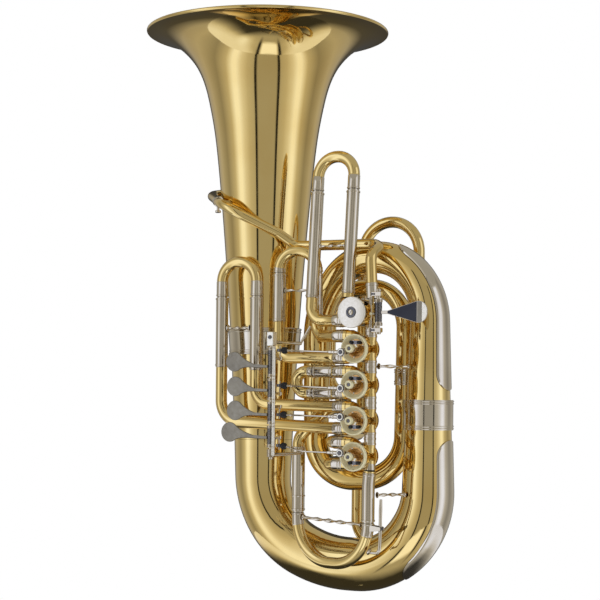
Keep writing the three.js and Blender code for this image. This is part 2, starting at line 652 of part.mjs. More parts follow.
function makeThirdSlide() {
  const [lx, ly] = THIRD.left;
  const [rx, ry] = THIRD.right;
  const lowRun = VALVE_Z[2] + PORT_DOWN;
  const highRun = VALVE_Z[2] + PORT_UP + 3;
  fixedLeg('slide_3_leg_lower', [
    [...port(2, PORT_DOWN), 0], [lx, ly, lowRun + 8, 34], [lx, ly, THIRD.top, 0],
  ], 0.24);
  fixedLeg('slide_3_leg_upper', [
    [...port(2, PORT_UP), 0], [rx, ry, highRun, 26], [rx, ry, THIRD.top, 0],
  ], 0.36);
  crook('slide_3_crook', [lx, ly, THIRD.top], [rx, ry, THIRD.top], [0, 0, 1], 56, 31);
}

function makeFourthSlide() {
  const [lx, ly] = FOURTH.left;
  const [rx, ry] = FOURTH.right;
  fixedLeg('slide_4_leg_upper', [
    [...port(3, PORT_UP), 0], [12, VALVE_Y, VALVE_Z[3] + PORT_UP, 18], [lx, ly, 246, 22],
    [lx, ly, FOURTH.top, 0],
  ], 0.2);
  fixedLeg('slide_4_leg_lower', [
    [...port(3, PORT_DOWN), 0], [8, VALVE_Y, VALVE_Z[3] + PORT_DOWN, 18], [-16, ly, 208, 24],
    [-16, ly, 72, 34], [rx, ry, 72, 34], [rx, ry, FOURTH.top, 0],
  ], 0.12);
  crook('slide_4_crook', [lx, ly, FOURTH.top], [rx, ry, FOURTH.top], [0, 0, 1], 72, 49);
}

function makeFifthSlide() {
  const lean = (z) => FIFTH_Y + FIFTH_LEAN * (z - FIFTH_Z + 11);
  const direction = [0, FIFTH_LEAN, 1];
  fixedLeg('slide_5_leg_left', [
    [PORT_END - GAP, FIFTH_Y, FIFTH_Z - 11, 0], [FIFTH_LEFT, FIFTH_Y, FIFTH_Z - 11, 22],
    [FIFTH_LEFT, lean(FIFTH_TOP), FIFTH_TOP, 0],
  ], 0.62);
  fixedLeg('slide_5_leg_right', [
    [FIFTH_RIGHT, lean(456), 456, 0], [FIFTH_RIGHT, lean(FIFTH_TOP), FIFTH_TOP, 0],
  ], 0.94);
  const left = [FIFTH_LEFT, lean(FIFTH_TOP), FIFTH_TOP];
  const right = [FIFTH_RIGHT, lean(FIFTH_TOP), FIFTH_TOP];
  crook('slide_5_crook', left, right, direction, 54, 30.5);
}

function makeMainSlide() {
  const [rx, ry] = MAIN_RIGHT;
  fixedLeg('main_slide_leg', [
    [LINK_X, VALVE_Y, VALVE_Z[3] - 21, 0], [rx, ry, 174, 60], [rx, ry, MAIN_RIGHT_END, 0],
  ], 0.9);
  const left = [...MAIN_LEFT, MAIN_END];
  const right = [...MAIN_RIGHT, MAIN_RIGHT_END];
  crook('main_slide_crook', left, right, [0, 0, -1], MAIN_END - MAIN_BOTTOM, 64, MAIN_PIPE);
}

// ---------- upright tubes between the rotors ----------
function makeLinks() {
  const reach = 20.2;
  const wall = [[0, BORE_R, BORE_R - 1], [1, BORE_R, BORE_R - 1]];
  const link = (name, low, high) => {
    const ends = [[LINK_X, VALVE_Y, low, 0], [LINK_X, VALVE_Y, high, 0]];
    add(name, tube(ends, wall, 12), NICKEL);
  };
  for (let k = 0; k < 3; k += 1) {
    link(`valve_link_${k + 1}`, VALVE_Z[k + 1] + reach, VALVE_Z[k] - reach);
  }
  link('valve_link_5', VALVE_Z[0] + reach, FIFTH_Z - reach);
}

// ---------- water key on the main crook ----------
const KEY_X = 100;
const KEY_TOP = 152;
const KEY_LOW = 72;

function makeWaterKey() {
  const y = MAIN_RIGHT[1];
  const pad = { from: [79.6, y, 73.4], to: [83.4, y, 71] };
  const lever = bar([KEY_X, y, KEY_TOP], [KEY_X - 0.6, y, KEY_LOW], 2.3, 8);
  const foot = bar([KEY_X - 0.6, y, KEY_LOW], pad.to, 2.3, 8);
  add('water_key', fuse([lever, foot, bar(pad.to, pad.from, 5, 12)]), NICKEL);
}

// ---------- braces ----------
function makeBraces() {
  const flange = (at, to, radius) => {
    const a = new THREE.Vector3(...at);
    const b = a.clone().add(new THREE.Vector3(...to).sub(a).normalize().multiplyScalar(1.6));
    return bar(at, b.toArray(), radius, 12);
  };
  const stay = (name, from, to, radius, foot) => {
    add(name, fuse([bar(from, to, radius, 8), flange(from, to, foot), flange(to, from, foot)]), NICKEL);
  };
  stay('brace_third_slide', [-174.6, -80, 412], [-132.9, -80, 412], 2, 4);
  stay('brace_first_slide', [-77.6, -66.2, 470], [-37.6, -58.8, 470], 2, 4);
  stay('brace_main_slide', [-46.6, -56.4, 117], [67.2, -77.8, 112], 2.4, 4.5);
  stay('brace_valve_upper', [92.2, -76, 352], [119, -27.5, 352], 2, 4);
  stay('brace_valve_lower', [90.6, -74, 158], [118, -35.5, 158], 2, 4);
}

makeBell();
makeBows();
makeGuards();
makeLeadpipe();
makeCasings();
makeRotors();
makeRods();
makePaddles();
makePaddleRail();
makeThumbLever();
makeThumbBracket();
makeFirstSlide();
makeSecondSlide();
makeThirdSlide();
makeFourthSlide();
makeFifthSlide();
makeMainSlide();
makeLinks();
makeWaterKey();
makeBraces();

// The origin is the middle of the whole object's base.
tuba.children.forEach((mesh) => mesh.geometry.translate(...ORIGIN_SHIFT));

export default tuba;
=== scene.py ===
"""Looks of the rotary F tuba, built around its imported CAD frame.

Sizes are millimetres in the CAD layout frame, where the bell axis is at x = BELL_X.
place() turns them into the row frame in metres.
"""

from math import atan2, cos, degrees, hypot, pi, radians, sin, sqrt, tan

import bmesh
import bpy
from mathutils import Matrix, Vector


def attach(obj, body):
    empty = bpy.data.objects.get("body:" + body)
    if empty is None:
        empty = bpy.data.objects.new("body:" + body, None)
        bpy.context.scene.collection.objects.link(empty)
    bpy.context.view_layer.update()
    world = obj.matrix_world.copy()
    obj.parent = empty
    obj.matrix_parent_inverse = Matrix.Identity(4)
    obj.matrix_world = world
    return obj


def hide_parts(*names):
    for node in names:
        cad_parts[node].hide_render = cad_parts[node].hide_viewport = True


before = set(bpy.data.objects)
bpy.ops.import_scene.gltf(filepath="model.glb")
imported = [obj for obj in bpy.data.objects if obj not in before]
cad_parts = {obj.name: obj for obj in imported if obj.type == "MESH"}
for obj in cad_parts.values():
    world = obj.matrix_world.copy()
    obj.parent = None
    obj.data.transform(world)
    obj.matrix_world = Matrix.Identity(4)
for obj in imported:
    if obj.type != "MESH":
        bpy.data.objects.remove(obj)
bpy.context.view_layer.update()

# ---------- driving dimensions, in mm: the CAD's, and a few that only the looks need ----------
SHIFT = Vector((84.05, 0, -1.1))
BELL_X, BELL_TOP, BELL_JOINT, BELL_R, STEM_R, BELL_WALL = -155, 894, 235, 195, 47, 0.8
BRANCH_X, BRANCH_JOINT = 139.5, 278
LEG_X, LEG_JOINT = -57, 250
INNER_X, INNER_Y, INNER_JOINT = 87, 25, 337
VALVE_X, VALVE_Y = 66, -82
VALVE_Z = (377.8, 323.8, 269.8, 215.8)
VALVE_BACK, VALVE_FRONT, CASING_R = -57, -107, 21
CAP_R, CAP_HOLE_R, CAP_DEPTH, FIFTH_CAP_R = 22, 14.5, 7, 23.5
PORT_UP, PORT_DOWN, PORT_END = 20, -13, 38
LINK_X, LINK_REACH = 82, 20.2
FIFTH_X, FIFTH_Y, FIFTH_Z, FIFTH_LEAN, FIFTH_PORT = 64, -86, 432, 0.085, 11
BORE_R, SLEEVE_R, INNER_R = 9.0, 9.8, 8.3
ARM_R, ARM_TURN = 14, radians(24)
ARM_SIDE = (-1, -1, 1, 1)
SHAFT_X, SHAFT_Y, ROD_Y = -48, -155, -120
CRANK_X, CRANK_OFFSET, CRANK_PIN_REST = -54, 12.5, 6.5
ROD_RISE = (3.2, 3.6, 1.5, 8.5)
PADDLE_X, PADDLE_R = (-111, -109, -109, -118.5), 15
PADDLE_Z = (357, 319.5, 283, 250)
PADDLE_ARM_Z = (350, 314, 277.5, 243)
PADDLE_SPAN = ((334, 379), (299, 332), (263, 297), (228, 261))
# HIGHLIGHT_ROD: where the bright rod stands that paints the barrels' highlight stripe
RAIL_LOW, RAIL_HIGH, RAIL_ARM_R, HIGHLIGHT_ROD = 210, 402, 2.6, (SHAFT_X + 7.2, SHAFT_Y - 5.6)
THUMB_X, THUMB_Y, THUMB_Z, THUMB_CRANK_Z = 101, -96, 432, 430
MOUNT_LOW, MOUNT_HIGH = 402, 463
TOUCH_START, TOUCH_X, TOUCH_HALF, TOUCH_END, TOUCH_NECK = 117, 166, 16.3, 182.3, 2.4
FIRST_LEFT, FIRST_RIGHT, FIRST_TOP = (-88, -68), (-27, -57), 496
SECOND_END = -14
THIRD_LEFT, THIRD_RIGHT, THIRD_TOP = (-185.5, -80), (-122, -80), 460
FOURTH_LEFT, FOURTH_RIGHT, FOURTH_TOP = (-9, 64), (90, 64), 512
FIFTH_LEFT, FIFTH_RIGHT, FIFTH_TOP = -20, 42.4, 620
MAIN_LEFT, MAIN_RIGHT, MAIN_END, MAIN_RIGHT_END, MAIN_BOTTOM = (-58, -54), (79, -80), 126, 117, 50
INTO_SLEEVE, PORT_SLEEVE = 34, 17
KEY_X, KEY_TOP, KEY_LOW, KEY_HINGE = 100, 152, 72, 108
GAP = 0.4
ROOT = "tuba_body"
SHAFT, CRANK, THUMB, LINK = (SHAFT_X, SHAFT_Y), (CRANK_X, ROD_Y), (THUMB_X, THUMB_Y), (LINK_X, VALVE_Y)
UP, DOWN, FRONT, BACK = (0, 0, 1), (0, 0, -1), (0, -1, 0), (0, 1, 0)


def place(point):
    return (Vector(point) + SHIFT) / 1000


# ---------- materials ----------
class Surface:
    """Material under construction: adds nodes and joins them."""

    def __init__(self, name):
        self.material = bpy.data.materials.new(name)
        self.material.use_nodes = True
        self.tree = self.material.node_tree
        self.shader = self.tree.nodes["Principled BSDF"]

    def join(self, output, node, socket):
        self.tree.links.new(output, node.inputs[socket])

    def add(self, kind, source=None, into=None, **values):
        """New node with its values set, fed from source (an output) into the socket called into."""
        node = self.tree.nodes.new("ShaderNode" + kind)
        for socket, value in values.items():
            node.inputs[socket.replace("_", " ")].default_value = value
        if source:
            self.join(source, node, into)
        return node

    def two_tones(self, factor, dark, low, light, high):
        """Colour that runs from dark where the factor is low to light where it is high."""
        tint = self.add("ValToRGB", factor, "Fac")
        for element, position, colour in zip(tint.color_ramp.elements, (low, high), (dark, light)):
            element.position = position
            element.color = (*colour, 1)
        return tint.outputs["Color"]

    def relief(self, height, strength, distance):
        bump = self.add("Bump", height, "Height", Strength=strength, Distance=distance)
        self.join(bump.outputs["Normal"], self.shader, "Normal")


def metal(name, light, dark, rough, spread, scale, bump, coat=0.0, stretch=None, metallic=1.0):
    """Metal whose colour, roughness and surface vary softly, paler on worn edges.

    spread: how much the roughness varies. stretch: how far brush marks are drawn out, where there are any.
    """
    surface = Surface(name)
    surface.shader.inputs["Metallic"].default_value = metallic
    surface.shader.inputs["Coat Weight"].default_value = coat
    surface.shader.inputs["Coat Roughness"].default_value = 0.04
    where = surface.add("TexCoord").outputs["Object"]
    cloud = surface.add("TexNoise", where, "Vector", Scale=scale, Detail=4)
    colour = surface.two_tones(cloud.outputs["Fac"], dark, 0.3, light, 0.62)
    edges = surface.add("NewGeometry").outputs["Pointiness"]
    wear = surface.add("MapRange", edges, "Value", From_Min=0.53, From_Max=0.62, To_Max=0.5)
    worn = surface.add("Mix")
    worn.data_type = "RGBA"
    worn.inputs["B"].default_value = (*[min(1, value * 1.12) for value in light], 1)
    surface.join(wear.outputs["Result"], worn, "Factor")
    surface.join(colour, worn, "A")
    surface.join(worn.outputs["Result"], surface.shader, "Base Color")
    haze = surface.add("TexNoise", where, "Vector", Scale=scale * 6, Detail=5)
    dull = surface.add("MapRange", haze.outputs["Fac"], "Value", From_Min=0.35, From_Max=0.7, To_Min=rough,
                       To_Max=rough + spread)
    surface.join(dull.outputs["Result"], surface.shader, "Roughness")
    brushed = surface.add("Mapping", where, "Vector", Scale=(1, 1, stretch or 1))
    fine = scale * (40 if stretch else 9)
    grain = surface.add("TexNoise", brushed.outputs["Vector"], "Vector", Scale=fine, Detail=2)
    surface.relief(grain.outputs["Fac"], bump, 0.0006)
    return surface.material


def soft_material(name, light, dark, rough, scale):
    """Cork or rubber with fine grain."""
    surface = Surface(name)
    where = surface.add("TexCoord").outputs["Object"]
    grain = surface.add("TexNoise", where, "Vector", Scale=scale, Detail=6).outputs["Fac"]
    surface.join(surface.two_tones(grain, dark, 0.35, light, 0.65), surface.shader, "Base Color")
    surface.relief(grain, 0.4, 0.0004)
    dull = surface.add("MapRange", grain, "Value", To_Min=rough, To_Max=min(1, rough + 0.2))
    surface.join(dull.outputs["Result"], surface.shader, "Roughness")
    return surface.material


BRASS = metal("brass lacquer", (0.85, 0.635, 0.245), (0.78, 0.55, 0.185), 0.04, 0.04, 9, 0.012, coat=0.2)
# darker, more orange brass for the recessed bearing plates and rotor drums: painted shade of the recess
BRASS_RECESS_SHADE = metal("brass inside painted recess shade", (0.62, 0.36, 0.12), (0.44, 0.22, 0.06), 0.12, 0.14, 40, 0.06, coat=0.1)
BELL_INSIDE = metal("brass bell inside", (0.80, 0.57, 0.24), (0.72, 0.49, 0.18), 0.14, 0.10, 20, 0.03,
                    coat=0.1)
# pale, almost non-metallic brass for cap rings, rotor hubs and the thumb crank ball: its paleness is a
# painted sheen
RING_SHEEN = metal("brass ring painted sheen", (1.0, 0.90, 0.56), (0.96, 0.84, 0.48), 0.36, 0.10, 30, 0.04, metallic=0.15)
NICKEL = metal("nickel silver", (0.71, 0.63, 0.48), (0.61, 0.53, 0.40), 0.06, 0.07, 14, 0.02)
CAP = metal("satin nickel cap", (0.94, 0.88, 0.74), (0.88, 0.82, 0.68), 0.36, 0.12, 60, 0.10)
SATIN = metal("satin grey paddle", (0.28, 0.25, 0.185), (0.21, 0.185, 0.14), 0.30, 0.14, 30, 0.10,
              stretch=0.08)
SMOKE = metal("dark mirror", (0.045, 0.045, 0.05), (0.025, 0.025, 0.03), 0.05, 0.06, 30, 0.02)
# blued steel for screws, springs and washers, also the dark disc that paints the shade inside tube bores
STEEL_AND_BORE_SHADE = metal("blued steel and bore shade", (0.20, 0.19, 0.19), (0.12, 0.12, 0.12), 0.22, 0.15, 40, 0.05)
RUBBER = soft_material("black rubber", (0.03, 0.03, 0.03), (0.012, 0.012, 0.012), 0.55, 300)
CORK = soft_material("cork", (0.50, 0.32, 0.18), (0.28, 0.16, 0.08), 0.75, 420)


# ---------- curves and routes ----------
def between(value, knots):
    """Height of the broken line through the (place, height) knots at value."""
    for (a, low), (b, high) in zip(knots, knots[1:]):
        if value <= b:
            return low + (high - low) * max(0.0, value - a) / (b - a)
    return knots[-1][1]


def smooth_curve(knots, count):
    """Points on a monotone cubic through (x, y) knots."""
    xs, ys = zip(*knots)
    slopes = [(ys[k + 1] - ys[k]) / (xs[k + 1] - xs[k]) for k in range(len(xs) - 1)]
    middle = [0 if a * b <= 0 else 2 * a * b / (a + b) for a, b in zip(slopes, slopes[1:])]
    tangents = [slopes[0], *middle, slopes[-1]]
    points = []
    for n in range(count + 1):
        x = xs[0] + (xs[-1] - xs[0]) * n / count
        k = max(i for i in range(len(xs) - 1) if xs[i] <= x)
        h = xs[k + 1] - xs[k]
        t = (x - xs[k]) / h
        y = ((2 * t**3 - 3 * t**2 + 1) * ys[k] + (t**3 - 2 * t**2 + t) * h * tangents[k]
             + (-2 * t**3 + 3 * t**2) * ys[k + 1] + (t**3 - t**2) * h * tangents[k + 1])
        points.append((x, y))
    return points


def route_points(corners, step=radians(5)):
    """[(point, tangent, distance)] along corner points (x, y, z, bend radius)."""
    spots = [Vector(corner[:3]) for corner in corners]
    points = [(spots[0], (spots[1] - spots[0]).normalized())]
    for k in range(1, len(spots) - 1):
        into = (spots[k] - spots[k - 1]).normalized()
        out = (spots[k + 1] - spots[k]).normalized()
        turn = into.angle(out)
        radius = corners[k][3]
        start = spots[k] - into * radius * tan(turn / 2)
        axis = into.cross(out).normalized()
        centre = start + axis.cross(into) * radius
        steps = max(3, round(turn / step))
        for n in range(steps + 1):
            spin = Matrix.Rotation(turn * n / steps, 3, axis)
            points.append((centre + spin @ (start - centre), spin @ into))
    points.append((spots[-1], (spots[-1] - spots[-2]).normalized()))
    kept = [(*points[0], 0.0)]
    for point, tangent in points[1:]:
        gap = (point - kept[-1][0]).length
        if gap >= 0.05:
            kept.append((point, tangent, kept[-1][2] + gap))
    return kept


def route_at(points, s):
    """Point and tangent at distance s along a route."""
    for (pa, ta, sa), (pb, tb, sb) in zip(points, points[1:]):
        if s <= sb:
            mix = (s - sa) / (sb - sa)
            return pa.lerp(pb, mix), ta.lerp(tb, mix).normalized()
    return points[-1][0], points[-1][1]


def length_of(corners):
    return route_points(corners)[-1][2]


def tapered(corners, radii):
    """Profile of a tube whose radius runs smoothly through (share of the length, radius) knots."""
    total = length_of(corners)
    return [(share * total, radius) for share, radius in smooth_curve(radii, 48)]


def axes(direction):
    """Unit vector along direction and two more at right angles to it."""
    along = Vector(direction).normalized()
    side = along.orthogonal().normalized()
    return along, side, along.cross(side)


def circle(centre, side, up, radius, sides):
    turns = [2 * pi * n / sides for n in range(sides)]
    return [centre + (side * cos(t) + up * sin(t)) * radius for t in turns]


def bead(s, radius, rise=0.9, width=2.2):
    """Profile knots of one raised ring centred on distance s."""
    half = width / 2
    return [(s - half - 0.3, radius), (s - half, radius + rise * 0.7), (s - half * 0.4, radius + rise),
            (s + half * 0.4, radius + rise), (s + half, radius + rise * 0.7), (s + half + 0.3, radius)]


def collar(length, low, high, edge):
    """Profile knots of a short sleeve with sloped ends."""
    return [(0, low), (edge, high), (length - edge, high), (length, low)]


def small_rings(start, count, low=5.9, high=6.7, pitch=1.1):
    """Knots of small raised rings."""
    knots = []
    for n in range(count):
        base = start + n * pitch
        knots += [(base, low), (base + 0.25, high), (base + 0.75, high), (base + 1.0, low)]
    return knots


# ---------- mesh builder ----------
class Piece:
    """Collects shapes into one mesh object. A shape given no material takes the piece's own."""

    def __init__(self, name, material):
        self.name = name
        self.mesh = bmesh.new()
        self.materials = [material]

    def index(self, material):
        if material is None:
            return 0
        if material not in self.materials:
            self.materials.append(material)
        return self.materials.index(material)

    def row(self, points):
        return [self.mesh.verts.new(place(point)) for point in points]

    def face(self, corners, material):
        self.mesh.faces.new(corners).material_index = self.index(material)

    def strip(self, row, after, material, inward=False):
        """Faces between two rows of corners."""
        for n in range(len(row)):
            m = (n + 1) % len(row)
            quad = (row[n], after[n], after[m], row[m]) if inward else (row[n], row[m], after[m], after[n])
            self.face(quad, material)

    def skin(self, rings, material=None, each=None):
        """Joins rings of points, in mm, with faces. each: the material of every strip, where they differ."""
        rows = [self.row(ring) for ring in rings]
        self.index(material)
        for k, (row, after) in enumerate(zip(rows, rows[1:])):
            self.strip(row, after, each[k] if each else material)
        return rows

    def solid(self, rings, material=None, each=None):
        """Skin with both its ends closed."""
        rows = self.skin(rings, material, each)
        self.face(rows[0][::-1], each[0] if each else material)
        self.face(rows[-1], each[-1] if each else material)

    def pipe(self, corners, profile, sides=48, parts=(), step=radians(5), lip=0.8, deep=14):
        """Tube along a route, open for a short way at both ends, each closed by a dark disc that paints the
        shade of the bore beyond.

        profile: (distance, radius) knots, where a negative distance counts from the end.
        parts: (from, to, material) stretches of another material.
        """
        points = route_points(corners, step)
        total = points[-1][2]

        def from_start(s):
            return s if s >= 0 else total + s

        knots = [(from_start(s), radius) for s, radius in profile]
        if knots[0][0] > 0:
            knots.insert(0, (0, knots[0][1]))
        if knots[-1][0] < total:
            knots.append((total, knots[-1][1]))
        stretches = [(from_start(a), from_start(b), other) for a, b, other in parts]
        ends = [s for stretch in stretches for s in stretch[:2]]
        marks = {round(s, 3) for s in [s for _, _, s in points] + [s for s, _ in knots] + ends}
        side = Vector((0.12, 1, 0.07))
        rings = []
        for mark in sorted(marks):
            centre, tangent = route_at(points, mark)
            side = (side - tangent * side.dot(tangent)).normalized()
            radii = [radius for s, radius in knots if abs(s - mark) < 0.002]
            for radius in radii or [between(mark, knots)]:
                rings.append((mark, tangent, centre, side, tangent.cross(side), radius))
        each = []
        for ring, after in zip(rings, rings[1:]):
            middle = (ring[0] + after[0]) / 2
            each.append(next((other for a, b, other in stretches if a <= middle <= b), None))
        rows = self.skin([circle(*ring[2:], sides) for ring in rings], None, each)
        for end, way in ((0, 1), (-1, -1)):
            _, tangent, centre, side, up, radius = rings[end]
            mouth = self.row(circle(centre, side, up, radius - lip, sides))
            bottom = self.row(circle(centre + tangent * (way * deep), side, up, radius - lip, sides))
            self.strip(rows[end], mouth, each[end], way == 1)
            self.strip(mouth, bottom, each[end], way == 1)
            # a dark disc closes each opening: painted shade of the bore beyond
            self.face(bottom[::way], STEEL_AND_BORE_SHADE)

    def lathe(self, base, axis, profile, material=None, sides=24, each=None):
        """Turned solid. profile: (distance along the axis, radius)."""
        along, side, up = axes(axis)
        origin = Vector(base)
        self.solid([circle(origin + along * distance, side, up, max(radius, 0.02), sides)
                    for distance, radius in profile], material, each)

    def rod(self, start, end, radius, material=None, sides=24, end_radius=None):
        """Round bar with chamfered ends."""
        a, b = Vector(start), Vector(end)
        length = (b - a).length
        last = end_radius or radius
        c = min(0.35, radius * 0.6, length * 0.3)
        profile = [(0, radius - c), (c, radius), (length - c, last), (length, max(last - c, 0.1))]
        self.lathe(a, b - a, profile, material, sides)

    def ball(self, centre, radius, material=None):
        turns = [pi * n / 10 for n in range(11)]
        profile = [(radius - radius * cos(t), radius * sin(t)) for t in turns]
        self.lathe(Vector(centre) - Vector((0, 0, radius)), UP, profile, material, 20)

    def plate(self, outline, thickness, to_point, material=None, bevel=0.5):
        """Extruded (u, v) outline. to_point(u, v, w) gives the place, with w from 0 to thickness."""
        area = sum(a[0] * b[1] - b[0] * a[1] for a, b in zip(outline, outline[1:] + outline[:1]))
        if area < 0:
            outline = outline[::-1]
        count = len(outline)
        middle = [sum(values) / count for values in zip(*outline)]
        small = []
        for k, here in enumerate(outline):
            before, after = Vector(outline[k - 1]), Vector(outline[(k + 1) % count])
            edge_a = (Vector(here) - before).normalized()
            edge_b = (after - Vector(here)).normalized()
            normal = Vector((-(edge_a.y + edge_b.y), edge_a.x + edge_b.x))
            normal = normal.normalized() if normal.length > 1e-6 else Vector((-edge_a.y, edge_a.x))
            small.append((here[0] + normal.x * bevel, here[1] + normal.y * bevel))
        layers = [(small, 0), (outline, bevel), (outline, thickness - bevel), (small, thickness)]
        rows = self.skin([[to_point(u, v, w) for u, v in ring] for ring, w in layers], material)
        for row, w, way in ((rows[0], 0, -1), (rows[-1], thickness, 1)):
            hub, = self.row([to_point(*middle, w)])
            for n in range(count):
                self.face((*(row[n], row[(n + 1) % count])[::way], hub), material)

    def block(self, low, high, material=None, bevel=0.6):
        """Box with bevelled edges."""
        (x0, y0, z0), (x1, y1, z1) = low, high
        c = min(bevel * 1.2, (x1 - x0) / 3, (z1 - z0) / 3)
        outline = [(x0, z0 + c), (x0 + c, z0), (x1 - c, z0), (x1, z0 + c),
                   (x1, z1 - c), (x1 - c, z1), (x0 + c, z1), (x0, z1 - c)]
        self.plate(outline, y1 - y0, lambda u, v, w: (u, y1 - w, v), material, min(bevel, (y1 - y0) / 3))

    def screw(self, centre, axis, radius, height, material, slot_turn=0.5):
        """Domed slotted screw head that stands on centre, along axis."""
        dome = ((0, 0.9), (0.15, 1), (0.6, 1), (0.9, 0.8), (1, 0.4))
        self.lathe(centre, axis, [(height * h, radius * r) for h, r in dome], material)
        along, side, _ = axes(axis)
        side = Matrix.Rotation(slot_turn, 3, along) @ side
        top = Vector(centre) + along * (height * 0.93)
        self.rod(top - side * radius * 0.72, top + side * radius * 0.72, radius * 0.13, STEEL_AND_BORE_SHADE, 8)

    def wire(self, path, radii, material=None, sides=8):
        """Thin round wire through points, with a radius at each."""
        loops = []
        side = (path[1] - path[0]).orthogonal().normalized()
        for k, point in enumerate(path):
            tangent = (path[min(k + 1, len(path) - 1)] - path[max(k - 1, 0)]).normalized()
            side = (side - tangent * side.dot(tangent)).normalized()
            loops.append(circle(point, side, tangent.cross(side), radii[k], sides))
        self.solid(loops, material)

    def coil(self, start, end, radius, thick, turns):
        """Helical steel spring."""
        a, b = Vector(start), Vector(end)
        _, side, up = axes(b - a)
        steps = int(turns * 12)
        path = []
        for n in range(steps + 1):
            angle = 2 * pi * turns * n / steps
            path.append(a.lerp(b, n / steps) + (side * cos(angle) + up * sin(angle)) * radius)
        self.wire(path, [thick] * len(path), STEEL_AND_BORE_SHADE, 6)

    def twisted(self, start, end, radius, turns, feet=4.5):
        """Decorative stay: a bar of two lobes twisted over its middle, with round feet."""
        a, b = Vector(start), Vector(end)
        along, side, up = axes(b - a)
        steps, sides = 60, 16
        loops = []
        for n in range(steps + 1):
            share = n / steps
            swell = sin(pi * share)
            twist = 2 * pi * turns * share
            wide, thin = radius * (0.85 + 0.45 * swell), radius * (0.85 - 0.35 * swell)
            across = side * cos(twist) + up * sin(twist)
            over = up * cos(twist) - side * sin(twist)
            loops.append(circle(a.lerp(b, share), across * wide, over * thin, 1, sides))
        self.solid(loops)
        for foot, way in ((a, along), (b, -along)):
            self.lathe(foot, way, [(0, feet), (0.9, feet), (1.5, feet * 0.7), (3.2, radius)])

    def finish(self, body, node=None, slot=None, sharp=35):
        """Makes the object, which rides on a body and stands for a CAD node."""
        bmesh.ops.remove_doubles(self.mesh, verts=self.mesh.verts, dist=1e-7)
        bmesh.ops.recalc_face_normals(self.mesh, faces=self.mesh.faces)
        for face in self.mesh.faces:
            face.smooth = True
        for edge in self.mesh.edges:
            if len(edge.link_faces) == 2 and edge.calc_face_angle(0) > radians(sharp):
                edge.smooth = False
        data = bpy.data.meshes.new(self.name)
        self.mesh.to_mesh(data)
        self.mesh.free()
        for material in self.materials:
            data.materials.append(material)
        made = bpy.data.objects.new(self.name, data)
        bpy.context.scene.collection.objects.link(made)
        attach(made, body)
        if node:
            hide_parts(node)


# ---------- bell ----------
BELL_OUTSIDE = ((235.4, STEM_R), (380, 54), (538, 65), (646, 74.5), (722, 83), (779, 93.5),
                (807, 101), (834, 113), (862, 136), (880, 163), (889, 192))
RIM_ROLL = 2.6
BELL_FERRULE_LOW, BELL_FERRULE_HIGH, BELL_FERRULE_R = 371, 414, (55, 58)
FERRULE_RIDGES = ((0, 0.8), (0.8, 1.8), (2.6, 1.8), (3.4, 0.6), (4.6, 0.6), (5.2, 1.4), (6.6, 1.4),
                  (7.2, 0.6))


def make_bell():
    outside = smooth_curve(BELL_OUTSIDE, 110)
    turns = [radians(-110 + 250 * n / 12) for n in range(13)]
    rim = [(BELL_TOP - RIM_ROLL + RIM_ROLL * sin(t), BELL_R - 2.4 + RIM_ROLL * cos(t)) for t in turns]
    inside = [(z + (1.2 if r > 110 else 0), r - BELL_WALL) for z, r in outside[::-1] if r < BELL_R - 8]
    first_inside = len(outside) - 1 + len(rim)
    loops = [circle(Vector((BELL_X, 0, z)), Vector((1, 0, 0)), Vector(BACK), radius, 144)
             for z, radius in [*outside[:-1], *rim, *inside]]
    piece = Piece("bell_shell", BRASS)
    each = [None] * first_inside + [BELL_INSIDE] * (len(loops) - first_inside)
    piece.skin(loops + loops[:1], None, each)
    piece.finish(ROOT, "bell", sharp=50)

    height = BELL_FERRULE_HIGH - BELL_FERRULE_LOW
    base, top = BELL_FERRULE_R
    profile = [(0, base)] + [(s, base + 0.8 + rise) for s, rise in FERRULE_RIDGES]
    profile += [(height - s, top + rise) for s, rise in FERRULE_RIDGES[::-1]] + [(height, top)]
    piece = Piece("bell_ferrule_ring", NICKEL)
    piece.lathe((BELL_X, 0, BELL_FERRULE_LOW), UP, profile, None, 120)
    piece.finish(ROOT, "bell_ferrule", sharp=25)


# ---------- bows and branches ----------
BOTTOM_BOW = ((BELL_X, 0, BELL_JOINT, 0), (BELL_X, 0, 92, 128), (-36, 0, 42.7, 210), (82, 0, 42.7, 120),
              (BRANCH_X, 0, 128, 114), (BRANCH_X, 0, BRANCH_JOINT, 0))
BOTTOM_RADII = ((0, STEM_R), (0.2, 43.5), (0.42, 42), (0.7, 41), (1, 35))
TOP_RADII = ((0, 34.6), (0.45, 25), (1, 19.5))
TOP_BOW = ((BRANCH_X, 0, BRANCH_JOINT + GAP, 0), (BRANCH_X, 0, 460, 105), (88, 0, 523, 90),
           (5, 0, 523, 88), (LEG_X, 0, 452, 150), (LEG_X, 0, LEG_JOINT, 0))
RETURN_BOW = ((LEG_X, 0, LEG_JOINT - GAP, 0), (LEG_X, 0, 176, 62), (INNER_X, INNER_Y, 176, 68),
              (INNER_X, INNER_Y, INNER_JOINT, 0))
INNER_LOOP = ((INNER_X, INNER_Y, INNER_JOINT + GAP, 0), (INNER_X, INNER_Y, 478, 66), (-62, 46, 478, 66),
              (-62, 46, 325, 34), (-20, 46, 292, 30), (-17, -48, 285, 34), (*MAIN_LEFT, 240, 30),
              (*MAIN_LEFT, MAIN_END, 0))
LOOP_SLEEVE, LOOP_SLEEVE_R = 100, 10.2
# x, y, low, high, radius
FERRULES = {
    "branch_ferrule": (BRANCH_X, 0, 256, 302, 37.2),
    "inner_ferrule": (INNER_X, INNER_Y, 324, 350, 15.6),
}
BOW_CENTRE = Vector((-8, 0, 280))
GUARD_HALF_ANGLE, GUARD_LIFT, GUARD_THICK = 0.75, 0.6, 1.5


